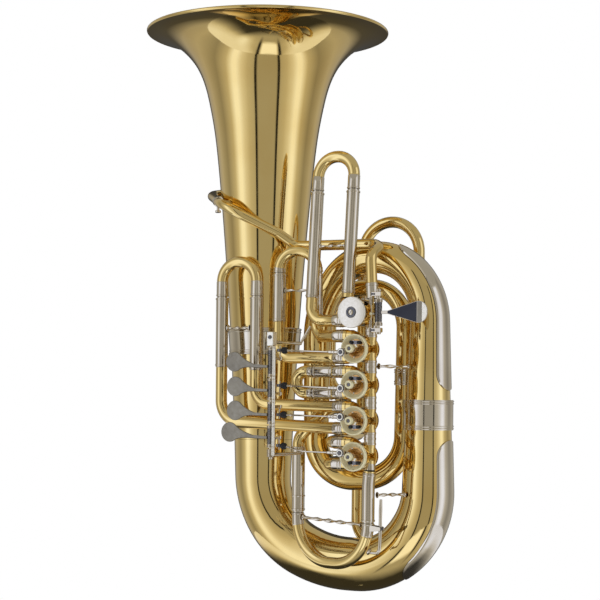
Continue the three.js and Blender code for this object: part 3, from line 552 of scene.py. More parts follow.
def make_bows():
    for name, corners, profile, sides, step in (
            ("bottom_bow", BOTTOM_BOW, tapered(BOTTOM_BOW, BOTTOM_RADII), 96, 3),
            ("top_bow", TOP_BOW, tapered(TOP_BOW, TOP_RADII), 80, 3),
            ("return_bow", RETURN_BOW, [(0, 19.5), (length_of(RETURN_BOW), 15)], 64, 4)):
        piece = Piece(name + "_tube", BRASS)
        piece.pipe(corners, profile, sides, step=radians(step))
        piece.finish(ROOT, name)

    total = length_of(INNER_LOOP)
    sleeve = total - LOOP_SLEEVE
    profile = [(0, 15), (total * 0.45, 12), (total * 0.8, 9.6), (sleeve - 1, 9.5), (sleeve, LOOP_SLEEVE_R)]
    for s in (sleeve + 3, total - 24, total - 3):
        profile += bead(s, LOOP_SLEEVE_R)
    piece = Piece("inner_loop_tube", BRASS)
    piece.pipe(INNER_LOOP, profile, 48, [(sleeve - 1, total, NICKEL)])
    piece.finish(ROOT, "inner_loop")

    for name, (x, y, low, high, radius) in FERRULES.items():
        height = high - low
        outer = radius + 0.9
        profile = [(0, radius), (0, outer)]
        for s in (2.2, 5.6, height - 5.6, height - 2.2):
            profile += bead(s, outer, 0.9, 1.8)
        piece = Piece(name + "_ring", NICKEL)
        piece.lathe((x, y, low), UP, profile + [(height, outer), (height, radius)], None, 96)
        piece.finish(ROOT, name, sharp=25)


def make_guard(name, corners, start, stop, radii):
    """Thin nickel plate wrapped on the outer side of a bow, rounded at both ends."""
    points = route_points(corners, radians(3))
    total = points[-1][2]
    low, high = start * total, stop * total
    steps, across = 90, 28
    round_end = GUARD_HALF_ANGLE * 36
    loops = []
    for k in range(steps + 1):
        s = low + (high - low) * k / steps
        point, tangent = route_at(points, s)
        outward = point - BOW_CENTRE
        outward -= tangent * outward.dot(tangent)
        outward.y = 0
        outward.normalize()
        reach = min(1, min(s - low, high - s) / round_end)
        edge = GUARD_HALF_ANGLE * (sqrt(max(0.0, 1 - (1 - reach) ** 2)) + 0.02)
        under = between(s / total, radii) + GUARD_LIFT
        top_row, low_row = [], []
        for n in range(across + 1):
            share = 2 * n / across - 1
            drop = GUARD_THICK * 0.8 * max(0, abs(share) - 0.94) / 0.06
            for row, r in ((top_row, under + GUARD_THICK - drop), (low_row, under)):
                row.append(point + outward * r * cos(edge * share) + Vector(BACK) * r * sin(edge * share))
        loops.append(top_row + low_row[::-1])
    piece = Piece(name + "_plate", NICKEL)
    piece.solid(loops)
    piece.finish(ROOT, name, sharp=40)


# ---------- leadpipe ----------
PIPE_X, PIPE_Y = LINK_X - 4, -37
LEADPIPE = ((-240, 104, 655, 0), (-240, -34, 630, 42), (-167, -107, 602, 42), (-100, -53, 562, 24),
            (-76, PIPE_Y, 542, 24), (PIPE_X, PIPE_Y, 540, 24), (PIPE_X, -78, 520, 18),
            (LINK_X, VALVE_Y + 3, 454, 0))
CLAMP_SHARE, CLAMP_STANDS_AT = 0.325, 69.5
RECEIVER_OUT, RECEIVER_IN = 38, 14


def make_leadpipe():
    total = length_of(LEADPIPE)
    piece = Piece("leadpipe_tube", BRASS)
    sleeve = total - 23
    profile = [(0, 6.6), (total * 0.35, 7.4), (sleeve - 1, 8.6), (sleeve, 9.4)] + bead(sleeve + 3, 9.4)
    piece.pipe(LEADPIPE, profile, 40, [(sleeve - 0.6, total, NICKEL)])
    piece.finish(ROOT, "leadpipe")

    tip = Vector(LEADPIPE[0][:3])
    back = (Vector(LEADPIPE[1][:3]) - tip).normalized()
    start, end = tip - back * RECEIVER_OUT, tip + back * RECEIVER_IN
    length = (end - start).length
    profile = [(0, 8.9), (0.6, 9.6), (6, 9.6), (6.6, 8.8), (8, 8.6), (9, 9.2), (10.5, 9.2), (11.5, 8.6),
               (length - 10, 8.4), (length - 3, 7.9), (length, 7.6)]
    piece = Piece("receiver", NICKEL)
    piece.pipe([(*start, 0), (*end, 0)], profile, lip=1.8, deep=34)
    piece.finish(ROOT, "mouthpiece_receiver")

    # clamp and thumb screws that hold the leadpipe off the bell
    piece = Piece("leadpipe_clamp", NICKEL)
    spot, tangent = route_at(route_points(LEADPIPE), total * CLAMP_SHARE)
    out = Vector((spot.x - BELL_X, spot.y, 0)).normalized()
    piece.lathe(spot - tangent * 4, tangent, collar(8, 7.9, 8.6, 0.4), None, 32)
    inner = spot - out * (hypot(spot.x - BELL_X, spot.y) - CLAMP_STANDS_AT)
    piece.rod(spot - out * 7, inner, 2.6)
    down = spot + Vector(DOWN) * 8
    piece.rod(down, down + Vector(DOWN) * 7, 2.2)
    piece.lathe(down + Vector(DOWN) * 6, DOWN, collar(4, 3.6, 4.6, 0.6), None, 16)
    piece.finish(ROOT)


# ---------- rotor casings ----------
CAP_DISH = ((CAP_DEPTH + 1.4, 0.1), (CAP_DEPTH + 1.4, 4.8), (CAP_DEPTH, 4.9), (CAP_DEPTH, 8),
            (CAP_DEPTH - 0.5, 8.4), (CAP_DEPTH - 0.5, 11), (CAP_DEPTH, 11.4), (CAP_DEPTH, CAP_HOLE_R),
            (6.2, CAP_HOLE_R), (5.2, CAP_HOLE_R + 0.9), (0.9, CAP_R - 2.6))
PLATE_SCREW_R = 12.6


def make_casing(number, x, z, is_open):
    """Turned rotor housing. An open one shows its bearing plate, darkened as painted recess shade, and screws
    inside a dished cap painted pale as a sheen.
    """
    depth = VALVE_BACK - VALVE_FRONT
    inside = list(CAP_DISH) if is_open else []
    profile = inside + [
        (0, CAP_R - 1.8 if is_open else 5.4), (0, CAP_R - 0.7), (0.5, CAP_R), (4.6, CAP_R), (5.2, CASING_R),
        (5.6, 20.3), (6.3, 20.3), (6.8, CASING_R), (9.6, CASING_R), (10.1, 20.2), (depth - 11, 20.2),
        (depth - 10.6, CASING_R), (depth - 7, CASING_R), (depth - 6.4, 20.4), (depth - 4.2, 20.0),
        (depth - 2.4, 18.2), (depth - 1.0, 13.5), (depth - 0.3, 7.5), (depth, 2),
    ]
    # painted recess shade on the bearing plate, painted sheen on the pale cap ring
    each = [BRASS_RECESS_SHADE] * 7 + [RING_SHEEN] * 8 + [BRASS] * (len(profile) - 16)
    piece = Piece(f"casing_{number}", BRASS)
    piece.lathe((x, VALVE_FRONT, z), BACK, profile, None, 72, each if is_open else None)
    for angle in (0.35, 1.9, 4.5) if is_open else ():
        spot = (x + PLATE_SCREW_R * cos(angle), VALVE_FRONT + CAP_DEPTH, z + PLATE_SCREW_R * sin(angle))
        piece.screw(spot, FRONT, 1.4, 1.0, NICKEL, angle)
    return piece


def make_casings():
    for k, z in enumerate(VALVE_Z):
        piece = make_casing(k + 1, VALVE_X, z, True)
        for offset in (PORT_UP, PORT_DOWN):
            piece.pipe([(VALVE_X - 3, VALVE_Y + 3, z + offset * 0.62, 0),
                        (VALVE_X - 14, VALVE_Y, z + offset, 11), (PORT_END + 0.2, VALVE_Y, z + offset, 0)],
                       [(0, BORE_R - 0.4), (-6, BORE_R), (-5, BORE_R + 0.8)], 40)
        for way in (-1, 1):
            is_last = (k, way) == (3, -1)
            piece.pipe([(VALVE_X + 2, VALVE_Y + 3, z + way * 6, 0), (*LINK, z + way * 9, 8),
                        (*LINK, z + way * 20, 0)],
                       [(0, BORE_R - 0.6), (-3, BORE_R - 0.2)], 40, [(-9, -0.01, NICKEL)] if is_last else ())
        piece.finish(ROOT, f"valve_{k + 1}_casing")
    piece = make_casing(5, FIFTH_X, FIFTH_Z, False)
    low = FIFTH_Z - FIFTH_PORT
    piece.pipe([(FIFTH_X - 4, FIFTH_Y, FIFTH_Z - 7, 0), (FIFTH_X - 14, FIFTH_Y, low, 12),
                (PORT_END + 0.2, FIFTH_Y, low, 0)], [(0, BORE_R), (-5, BORE_R + 0.8)], 40)
    piece.pipe([(FIFTH_X + 3, VALVE_Y, FIFTH_Z - 6, 0), (*LINK, FIFTH_Z - 8, 8),
                (*LINK, FIFTH_Z - 19.8, 0)], [(0, BORE_R - 0.4)], 40)
    piece.finish(ROOT, "valve_5_casing")


# ---------- rotors ----------
ROTOR_BACK, ROTOR_FRONT, ROTOR_R, SPINDLE_R = VALVE_BACK - 7.5, VALVE_FRONT + CAP_DEPTH + 2.6, 16.8, 4.2
ARM_BACK, ARM_THICK, HUB_R, ARM_END_R, HUB_SCREW = -112, 4.4, 6.2, 4.2, -121.4
PIN_BACK, PIN_FRONT, WASHER_BACK, PIN_SCREW = -115.6, -123, -122.3, -124.4
FIFTH_CAP_BACK, FIFTH_SCREW = -108.9, -113.2
HUB = ((0, 5.0), (0.6, 5.8), (5.4, 5.8), (6, 5.2), (6.4, 5.2), (7, 6.0), (12.0, 6.0), (12.8, 5.3),
       (12.8, 3.6), (11.6, 3.4), (10.8, 1))
PIN_WASHER = ((0, 5.2), (0.4, 6.0), (2.4, 6.0), (2.9, 5.2), (2.9, 3.5), (2.2, 3.3))
STOP_LUG = [(-10.5, -2.6), (-4, -2.6), (-4, 2.6), (-10.5, 2.6)]
FIFTH_CAP = ((0, FIFTH_CAP_R - 1.4), (0.5, FIFTH_CAP_R - 0.3), (1, FIFTH_CAP_R), (3.0, FIFTH_CAP_R),
             (3.7, FIFTH_CAP_R - 0.6), (4.1, FIFTH_CAP_R - 1.8), (4.25, 12), (4.3, 8.6), (3.4, 8.2), (3.3, 6))
FIFTH_WASHER = ((0, 7.2), (0.6, 7.9), (2.0, 7.9), (2.5, 7.3), (2.5, 5.4), (1.7, 5.1), (1.6, 4.2))


def link_pin(k):
    return VALVE_X - ARM_R * cos(ARM_TURN), VALVE_Z[k] + ARM_SIDE[k] * ARM_R * sin(ARM_TURN)


def make_rotor(k):
    z = VALVE_Z[k]
    pin_x, pin_z = link_pin(k)
    piece = Piece(f"rotor_arm_{k + 1}", NICKEL)
    # rotor drum in the darker brass: painted shade inside the casing
    piece.rod((VALVE_X, ROTOR_BACK, z), (VALVE_X, ROTOR_FRONT, z), ROTOR_R, BRASS_RECESS_SHADE, 48)
    piece.rod((VALVE_X, ROTOR_FRONT + 0.5, z), (VALVE_X, ARM_BACK, z), SPINDLE_R)
    # hub in the pale brass: painted sheen
    piece.lathe((VALVE_X, ARM_BACK + 1.4, z), FRONT, HUB, RING_SHEEN, 40)
    piece.screw((VALVE_X, HUB_SCREW, z), FRONT, 2.9, 1.2, STEEL_AND_BORE_SHADE, 0.8 + k)
    # stop arm, wider at the hub, with a square stop lug on the far side of the axis
    angle = atan2(pin_z - z, pin_x - VALVE_X)
    turns = [pi * n / 8 - pi / 2 for n in range(9)]
    outline = [(-HUB_R * cos(t), -HUB_R * sin(t)) for t in turns]
    outline += [(ARM_R + ARM_END_R * cos(t), ARM_END_R * sin(t)) for t in turns]

    def on_arm(u, v, w):
        return (VALVE_X + u * cos(angle) - v * sin(angle), ARM_BACK - w, z + u * sin(angle) + v * cos(angle))

    piece.plate(outline, ARM_THICK, on_arm)
    piece.plate(STOP_LUG, ARM_THICK, on_arm)
    piece.rod((pin_x, PIN_BACK, pin_z), (pin_x, PIN_FRONT, pin_z), 1.8, None, 16)
    piece.lathe((pin_x, WASHER_BACK, pin_z), FRONT, PIN_WASHER, STEEL_AND_BORE_SHADE, 36, [STEEL_AND_BORE_SHADE] * 3 + [CAP, STEEL_AND_BORE_SHADE])
    piece.screw((pin_x, PIN_SCREW, pin_z), FRONT, 2.6, 1.3, STEEL_AND_BORE_SHADE, 0.9)
    piece.finish(f"rotor_{k + 1}_body", f"rotor_{k + 1}")


def make_fifth_rotor():
    piece = Piece("rotor_cap_5", CAP)
    # rotor drum in the darker brass: painted shade inside the casing
    piece.rod((FIFTH_X, ROTOR_BACK, FIFTH_Z), (FIFTH_X, ROTOR_FRONT, FIFTH_Z), ROTOR_R, BRASS_RECESS_SHADE, 48)
    piece.rod((FIFTH_X, ROTOR_FRONT + 0.5, FIFTH_Z), (FIFTH_X, ARM_BACK + 2, FIFTH_Z), SPINDLE_R, NICKEL)
    piece.lathe((FIFTH_X, FIFTH_CAP_BACK, FIFTH_Z), FRONT, FIFTH_CAP, None, 96)
    piece.lathe((FIFTH_X, ARM_BACK, FIFTH_Z), FRONT, FIFTH_WASHER, STEEL_AND_BORE_SHADE, 40)
    piece.screw((FIFTH_X, FIFTH_SCREW, FIFTH_Z), FRONT, 4.1, 1.5, NICKEL, 0.2)
    piece.finish("rotor_5_body", "rotor_5", sharp=30)


def make_bumpers():
    """Fixed bridge on each bearing plate with the two rubber bumpers that stop the rotor's lug."""
    front = VALVE_FRONT + CAP_DEPTH
    half_wide, half_high, bumper_x = 9.6, 2.8, 6.4
    piece = Piece("rotor_bumpers", NICKEL)
    for z, arm_side in zip(VALVE_Z, ARM_SIDE):
        middle = z - arm_side * 9.4
        for x in (VALVE_X - bumper_x, VALVE_X + bumper_x):
            piece.rod((x, front - 0.2, middle), (x, front - 5.4, middle), 2.5, RUBBER, 16)
        low, high = middle - half_high, middle + half_high
        bridge = [(VALVE_X - half_wide, low), (VALVE_X + half_wide, low),
                  (VALVE_X + half_wide, high), (VALVE_X - half_wide, high)]
        piece.plate(bridge, 1.6, lambda u, v, w: (u, front - 0.4 - w, v), STEEL_AND_BORE_SHADE, 0.3)
    piece.finish(ROOT)


# ---------- link rods ----------
ROD_RING = ((0, 2.3), (0, 5.6), (0.5, 6.3), (3.5, 6.3), (4, 5.6), (4, 4.4), (3.2, 4.2), (3.2, 2.3))
CLEVIS = ((0, 2.0), (0.8, 3.0), (6.4, 3.0), (6.9, 2.5), (7.9, 2.5), (8.4, 3.3), (10.4, 3.3), (10.9, 2.5),
          (12.0, 2.5), (12.5, 2.9), (17, 2.9), (18.2, 1.9), (19.4, 1.5))
THREAD = [(n * 0.5, 1.75 if n % 2 else 1.4) for n in range(15)]
BOOT = ((0, 2.2), (0.5, 3.7), (1.6, 4.8), (3.2, 5.2), (6.4, 5.2), (8.2, 4.6), (9.2, 3.2))
SOCKET_EYE = ((0, 3), (0, 4.6), (0.6, 5.2), (4.2, 5.2), (4.8, 4.6), (4.8, 3))
STEEP_RISE = 5


def make_rod(k):
    pin_x, pin_z = link_pin(k)
    rise = ROD_RISE[k]

    def along(share):
        """Point on the rod's line, which bends like an S where the rise is steep."""
        late = max(0.0, share - 0.55) / 0.45
        eased = 0.12 * share + 0.88 * late * late * (3 - 2 * late)
        climb = eased if rise > STEEP_RISE else share
        return Vector((pin_x - share * (pin_x - CRANK_X), ROD_Y, pin_z + rise * climb))

    piece = Piece(f"link_{k + 1}", NICKEL)
    piece.lathe((pin_x, -118, pin_z), FRONT, ROD_RING, None, 40)
    piece.lathe(along(0.045), along(0.25) - along(0.05), CLEVIS)
    path = [along(0.2 + 0.7 * n / 24) for n in range(25)]
    piece.wire(path, [1.3] * len(path), None, 12)
    piece.lathe(along(0.83), along(0.9) - along(0.83), THREAD, None, 16)
    piece.lathe(along(0.795), along(0.83) - along(0.795), collar(2.7, 2.2, 2.9, 0.5), None, 6)
    # rubber boot over the ball joint
    piece.lathe(along(0.885), along(0.97) - along(0.885), BOOT, RUBBER, 32)
    piece.lathe(along(1) + Vector((0, 0, -2.4)), UP, SOCKET_EYE, STEEL_AND_BORE_SHADE, 40)
    piece.finish(f"rod_{k + 1}_body", f"link_rod_{k + 1}")


# ---------- finger paddles ----------
SPOON_OPEN, ARM_HALF, SPOON_THICK = 0.86, 2.1, 2.3


def bend(start, control, end, shares):
    """Points on the quadratic curve from start to end."""
    return [tuple((1 - t) ** 2 * a + 2 * t * (1 - t) * b + t * t * c for a, b, c in zip(start, control, end))
            for t in shares]


def make_paddle(k):
    low, high = PADDLE_SPAN[k]
    z, arm_z, paddle_x = PADDLE_Z[k], PADDLE_ARM_Z[k], PADDLE_X[k]
    piece = Piece(f"paddle_spoon_{k + 1}", SATIN)
    # barrel with end collars and the return spring wound between them
    height = high - low
    barrel = [(0, 3.6), (0, 6.0)] + small_rings(0.4, 3) + [(3.8, 5.4), (height - 3.8, 5.4)]
    barrel += small_rings(height - 3.6, 3) + [(height, 6.0), (height, 3.6)]
    piece.lathe((*SHAFT, low), UP, barrel, NICKEL, 40)
    piece.coil((*SHAFT, low + 4.4), (*SHAFT, high - 4.4), 5.75, 0.5, (height - 9) / 1.15)
    # spoon: a round touch plate that sweeps into a slim arm
    turns = [SPOON_OPEN + (2 * pi - 2 * SPOON_OPEN) * n / 30 for n in range(31)]
    touch = [(paddle_x + PADDLE_R * cos(t), z + PADDLE_R * sin(t)) for t in turns]
    neck_x, control_x, drop = SHAFT_X - 24, paddle_x + PADDLE_R + 4, (z - arm_z) * 0.4
    below, above = arm_z - ARM_HALF, arm_z + ARM_HALF
    lower = bend(touch[-1], (control_x, z - 4.2 - drop), (neck_x, below), [n / 8 for n in range(1, 9)])
    upper = bend((neck_x, above), (control_x, z + 4.2 - drop), touch[0], [n / 8 for n in range(8)])
    outline = touch + lower + [(SHAFT_X - 4, below), (SHAFT_X - 4, above)] + upper

    def on_plate(u, v, w):
        dish = 1.6 * max(0, 1 - ((u - paddle_x) ** 2 + (v - z) ** 2) / PADDLE_R ** 2)
        return (u, SHAFT_Y - 3.5 - w + dish * 0.9, v)

    piece.plate(outline, SPOON_THICK, on_plate, None, 0.7)
    # crank with its ball pin
    side = ARM_SIDE[k]
    rod_z = link_pin(k)[1] + ROD_RISE[k]
    bar_z = rod_z + side * CRANK_OFFSET
    piece.rod((SHAFT_X, SHAFT_Y + 4, bar_z), (*CRANK, bar_z), 2.4, NICKEL, 20)
    piece.rod((*CRANK, bar_z - 2.4), (*CRANK, bar_z + 2.4), 4, NICKEL, 28)
    piece.rod((*CRANK, bar_z), (*CRANK, rod_z - side * CRANK_PIN_REST), 1.1, NICKEL, 16)
    piece.screw((*CRANK, bar_z - 2.2), DOWN, 2.6, 1.2, NICKEL)
    piece.finish(f"paddle_{k + 1}_body", f"paddle_{k + 1}")


def make_rail():
    piece = Piece("paddle_rail_assembly", NICKEL)
    piece.rod((*SHAFT, RAIL_LOW), (*SHAFT, RAIL_HIGH), 3, None, 32)
    # top bracket plate with its screw, and bottom bearing collar
    low, high = (SHAFT_X - 5.4, SHAFT_Y - 6, RAIL_HIGH - 21), (SHAFT_X + 5.4, SHAFT_Y + 6, RAIL_HIGH)
    piece.block(low, high, CAP, 0.8)
    piece.screw((SHAFT_X, SHAFT_Y - 6, RAIL_HIGH - 8), FRONT, 3, 1.4, STEEL_AND_BORE_SHADE, 0.9)
    bearing = [(0, 4.6), (0.6, 5.8)] + small_rings(0.8, 10, 5.4, 6.2) + [(12.4, 5.8), (13, 4.6)]
    piece.lathe((*SHAFT, RAIL_LOW + 3), UP, bearing, None, 44)
    # arms to the back, each with a short stay from its end to the tube beside it
    for z, back, (tube_x, tube_y), rise in ((RAIL_HIGH - 15, -69, FIRST_RIGHT, 27),
                                            (RAIL_LOW + 7, -68, MAIN_LEFT, 0)):
        piece.rod((SHAFT_X, SHAFT_Y + 5, z), (SHAFT_X, back, z), RAIL_ARM_R)
        piece.ball((SHAFT_X, back, z), RAIL_ARM_R)
        gap = Vector((tube_x - SHAFT_X, tube_y - back, 0))
        reach = gap * ((gap.length - BORE_R + 0.6) / gap.length)
        piece.rod((SHAFT_X, back, z), (SHAFT_X + reach.x, back + reach.y, z + rise), 1.9, None, 20, 2.8)
    # mirror-bright rod beside the barrels, with collars at the barrels' ends: a painted highlight standing
    # for the white stripe the barrels reflect
    piece.rod((*HIGHLIGHT_ROD, RAIL_LOW + 6), (*HIGHLIGHT_ROD, RAIL_HIGH - 22), 2.5, CAP)
    for low, high in PADDLE_SPAN:
        for z in (low + 1.2, high - 1.2):
            piece.lathe((*HIGHLIGHT_ROD, z - 1), UP, collar(2, 2.4, 2.9, 0.3))
    piece.finish(ROOT, "paddle_rail")


# ---------- thumb lever ----------
def touch_outline(start, stop, shrink=0.0):
    """Outline of the thumb plate from x = start to x = stop: a straight-sided fan with a round end."""
    def half(x):
        if x <= TOUCH_X:
            share = max(0, x - TOUCH_START) / (TOUCH_X - TOUCH_START)
            return TOUCH_NECK + (TOUCH_HALF - TOUCH_NECK) * share - shrink
        share = (x - TOUCH_X) / (TOUCH_END - TOUCH_X)
        return TOUCH_HALF * sqrt(max(0.0, 1 - share ** 2.6)) - shrink

    round_end = [TOUCH_X + (TOUCH_END - TOUCH_X) * sin(pi / 2 * n / 14) for n in range(15)]
    xs = [start] + [x for x in [TOUCH_START, *round_end] if start < x < stop - 0.2] + [stop]
    lower = [(x, THUMB_Z - max(0.05, half(x))) for x in xs]
    return lower + [(x, THUMB_Z + max(0.05, half(x))) for x in xs[::-1]]


def make_thumb():
    piece = Piece("thumb_touch", NICKEL)
    barrel = [(0, 3.2), (0, 6.0)] + small_rings(0.4, 4) + [(5, 5.0), (35, 5.0)] + small_rings(35.4, 4)
    piece.lathe((*THUMB, THUMB_Z - 20), UP, barrel + [(40, 6.0), (40, 3.2)], None, 40)
    piece.coil((*THUMB, THUMB_Z - 14.5), (*THUMB, THUMB_Z + 14.5), 5.5, 0.5, 26)
    whole = touch_outline(THUMB_X + 3, TOUCH_END)
    piece.plate(whole, 2.4, lambda u, v, w: (u, THUMB_Y + 1.2 - w, v), None, 0.4)
    for start, stop, material in ((TOUCH_START, TOUCH_X - 0.6, SMOKE), (TOUCH_X, TOUCH_X + 7.6, SATIN),
                                  (TOUCH_X + 8, TOUCH_END - 0.5, CAP)):
        inlay = touch_outline(start, stop, 0.7)
        piece.plate(inlay, 0.3, lambda u, v, w: (u, THUMB_Y - 1.1 - w, v), material, 0.1)
    # crank that turns the fifth rotor's arm
    crank = (THUMB_X - 9.5, THUMB_Y - 4, THUMB_CRANK_Z)
    piece.rod((THUMB_X - 4, THUMB_Y, THUMB_CRANK_Z), crank, 1.7, None, 16)
    # ball in the pale brass: painted sheen
    piece.ball((THUMB_X - 10, THUMB_Y - 4.4, THUMB_CRANK_Z), 2.6, RING_SHEEN)
    piece.finish("thumb_lever_body", "thumb_lever", "satin_nickel")

    piece = Piece("thumb_mount", NICKEL)
    back, front = THUMB_X - 11.4, THUMB_Y - 4
    piece.rod((*THUMB, THUMB_Z - 32), (*THUMB, THUMB_Z + 35), 2.7)
    for low in (MOUNT_LOW, MOUNT_HIGH - 7):
        piece.block((back, front, low), (THUMB_X + 6, THUMB_Y + 4, low + 7), None, 0.7)
        for x in (back + 2.4, THUMB_X - 5.4):
            piece.screw((x, front, low + 3.5), FRONT, 1.7, 1.1, STEEL_AND_BORE_SHADE, low + x)
    piece.block((back, front, MOUNT_LOW), (back + 2.4, THUMB_Y + 4, MOUNT_HIGH), None, 0.7)
    for low, count in ((409.2, 9), (443, 10)):
        column = [(0, 2.2)] + small_rings(0.2, count, 2.2, 2.9, 1.2)
        piece.lathe((back + 1.2, THUMB_Y - 4.6, low), UP, column)
    for z in (THUMB_Z - 31, THUMB_Z + 33):
        piece.lathe((*THUMB, z - 1.5), UP, collar(3, 3.4, 4.2, 0.5))
    piece.finish(ROOT, "thumb_bracket")


# ---------- tuning slides ----------
def fixed_leg(name, corners, sleeve_share, port_sleeve=PORT_SLEEVE):
    """Brass tube from a port, with a nickel coupling there and a nickel outer slide tube at the far end."""
    total = length_of(corners)
    change = total * (1 - sleeve_share)
    profile = [(0, BORE_R)]
    parts = [(change - 0.8, total, NICKEL)]
    if port_sleeve:
        profile = [(0, SLEEVE_R)] + bead(2.4, SLEEVE_R, 0.6, 1.6) + bead(6.4, SLEEVE_R, 0.5, 1.2)
        profile += [(port_sleeve - 1, SLEEVE_R), (port_sleeve, BORE_R + 0.1)]
        parts.append((0, port_sleeve, NICKEL))
    profile += [(change - 0.8, BORE_R), (change, SLEEVE_R)]
    profile += bead(change + 2.8, SLEEVE_R, 0.8, 2.0) + bead(total - 2.2, SLEEVE_R, 0.9, 2.4)
    profile.append((total, SLEEVE_R))
    piece = Piece(name + "_tube", BRASS)
    piece.pipe(corners, profile, 44, parts)
    piece.finish(ROOT, name, "nickel_silver")


def slide_crook(name, leg_a, leg_b, direction, reach, bend_r, bare, radius=SLEEVE_R, thin=INNER_R):
    """U-shaped crook: thin nickel legs that run inside the fixed sleeves, ferrules, then the brass bow.

    leg_a, leg_b: the fixed sleeves' ends. bare: length of the nickel ferrules.
    """
    d = Vector(direction).normalized()
    a, b = Vector(leg_a), Vector(leg_b)
    behind = (b - a).dot(d)
    corners = [(*(a - d * INTO_SLEEVE), 0), (*(a + d * reach), bend_r),
               (*(b + d * (reach - behind)), bend_r), (*(b - d * INTO_SLEEVE), 0)]
    total = length_of(corners)
    start = INTO_SLEEVE + 1.5
    brass_from = start + bare
    profile = [(0, thin), (start, thin), (start + 0.5, radius - 0.5)]
    profile += bead(start + 2.2, radius - 0.5, 0.7, 1.8)
    profile += [(brass_from - 0.6, radius - 0.5), (brass_from, radius - 0.9)]
    mirror = [(total - s, r) for s, r in reversed(profile)]
    piece = Piece(name + "_crook_bow", BRASS)
    piece.pipe(corners, profile + mirror, 44, [(0, brass_from, NICKEL), (total - brass_from, total, NICKEL)])
    piece.finish(name + "_body", name + "_crook")


def port(k, offset):
    return PORT_END - GAP, VALVE_Y, VALVE_Z[k] + offset, 0


def upright_slide(k, left, right, top, legs, reach, bend_r, bare):
    """Slide with its bow at the top.

    legs: (name, port offset, corners on the way up, sleeve share) of the left one and the right one.
    """
    for spot, (name, offset, corners, share) in zip((left, right), legs):
        fixed_leg(f"slide_{k + 1}_leg_{name}", [port(k, offset), *corners, (*spot, top, 0)], share)
    slide_crook(f"slide_{k + 1}", (*left, top), (*right, top), UP, reach, bend_r, bare)


def make_valve_slides():
    low, high = VALVE_Z[0] + PORT_DOWN, VALVE_Z[0] + PORT_UP
    upright_slide(0, FIRST_LEFT, FIRST_RIGHT, FIRST_TOP, (
        ("lower", PORT_DOWN, [(16, VALVE_Y, low, 40), (*FIRST_LEFT, low, 26)], 0.3),
        ("upper", PORT_UP, [(22, VALVE_Y, high, 16), (*FIRST_RIGHT, high, 22)], 0.42)), 36, 30.9, 8)

    ends = [(SECOND_END, VALVE_Y, VALVE_Z[1] + offset) for offset in (PORT_UP, PORT_DOWN)]
    fixed_leg("slide_2_leg_upper", [port(1, PORT_UP), (*ends[0], 0)], 0.62)
    fixed_leg("slide_2_leg_lower", [port(1, PORT_DOWN), (*ends[1], 0)], 0.62)
    slide_crook("slide_2", *ends, (-1, 0, 0), 32, 16, 9)

    low, high = VALVE_Z[2] + PORT_DOWN, VALVE_Z[2] + PORT_UP
    upright_slide(2, THIRD_LEFT, THIRD_RIGHT, THIRD_TOP, (
        ("lower", PORT_DOWN, [(*THIRD_LEFT, low + 8, 34)], 0.27),
        ("upper", PORT_UP, [(*THIRD_RIGHT, high + 3, 26)], 0.36)), 56, 31, 24)

    low, high = VALVE_Z[3] + PORT_DOWN, VALVE_Z[3] + PORT_UP
    turn = (-16, FOURTH_LEFT[1])
    bottom = 72
    upright_slide(3, FOURTH_LEFT, FOURTH_RIGHT, FOURTH_TOP, (
        ("upper", PORT_UP, [(12, VALVE_Y, high, 18), (*FOURTH_LEFT, 246, 22)], 0.2),
        ("lower", PORT_DOWN, [(8, VALVE_Y, low, 18), (*turn, 208, 24), (*turn, bottom, 34),
                              (*FOURTH_RIGHT, bottom, 34)], 0.12)), 72, 49, 10)


def on_fifth(x, z):
    """Point on the fifth slide, which leans back."""
    return (x, FIFTH_Y + FIFTH_LEAN * (z - FIFTH_Z + FIFTH_PORT), z)


def make_fifth_slide():
    left, right = on_fifth(FIFTH_LEFT, FIFTH_TOP), on_fifth(FIFTH_RIGHT, FIFTH_TOP)
    base = FIFTH_Z - FIFTH_PORT
    start = (PORT_END - GAP, FIFTH_Y, base, 0)
    fixed_leg("slide_5_leg_left", [start, (FIFTH_LEFT, FIFTH_Y, base, 22), (*left, 0)], 0.66)
    fixed_leg("slide_5_leg_right", [(*on_fifth(FIFTH_RIGHT, 456), 0), (*right, 0)], 0.96, port_sleeve=0)
    slide_crook("slide_5", left, right, (0, FIFTH_LEAN, 1), 54, 30.5, 22)


def make_main_slide():
    fixed_leg("main_slide_leg", [(*LINK, VALVE_Z[3] - 21, 0), (*MAIN_RIGHT, 174, 60),
                                 (*MAIN_RIGHT, MAIN_RIGHT_END, 0)], 0.96, port_sleeve=0)
    slide_crook("main_slide", (*MAIN_LEFT, MAIN_END), (*MAIN_RIGHT, MAIN_RIGHT_END), DOWN,
                MAIN_END - MAIN_BOTTOM, 64, 20, radius=9.9, thin=8.6)


def make_fifth_stay(height=536):
    """Twisted stay between the fifth slide's two outer tubes."""
    ends = on_fifth(FIFTH_LEFT + SLEEVE_R, height), on_fifth(FIFTH_RIGHT - SLEEVE_R, height)
    piece = Piece("fifth_slide_stay", NICKEL)
    piece.twisted(*ends, 1.9, 1.5, 3.6)
    piece.finish(ROOT)


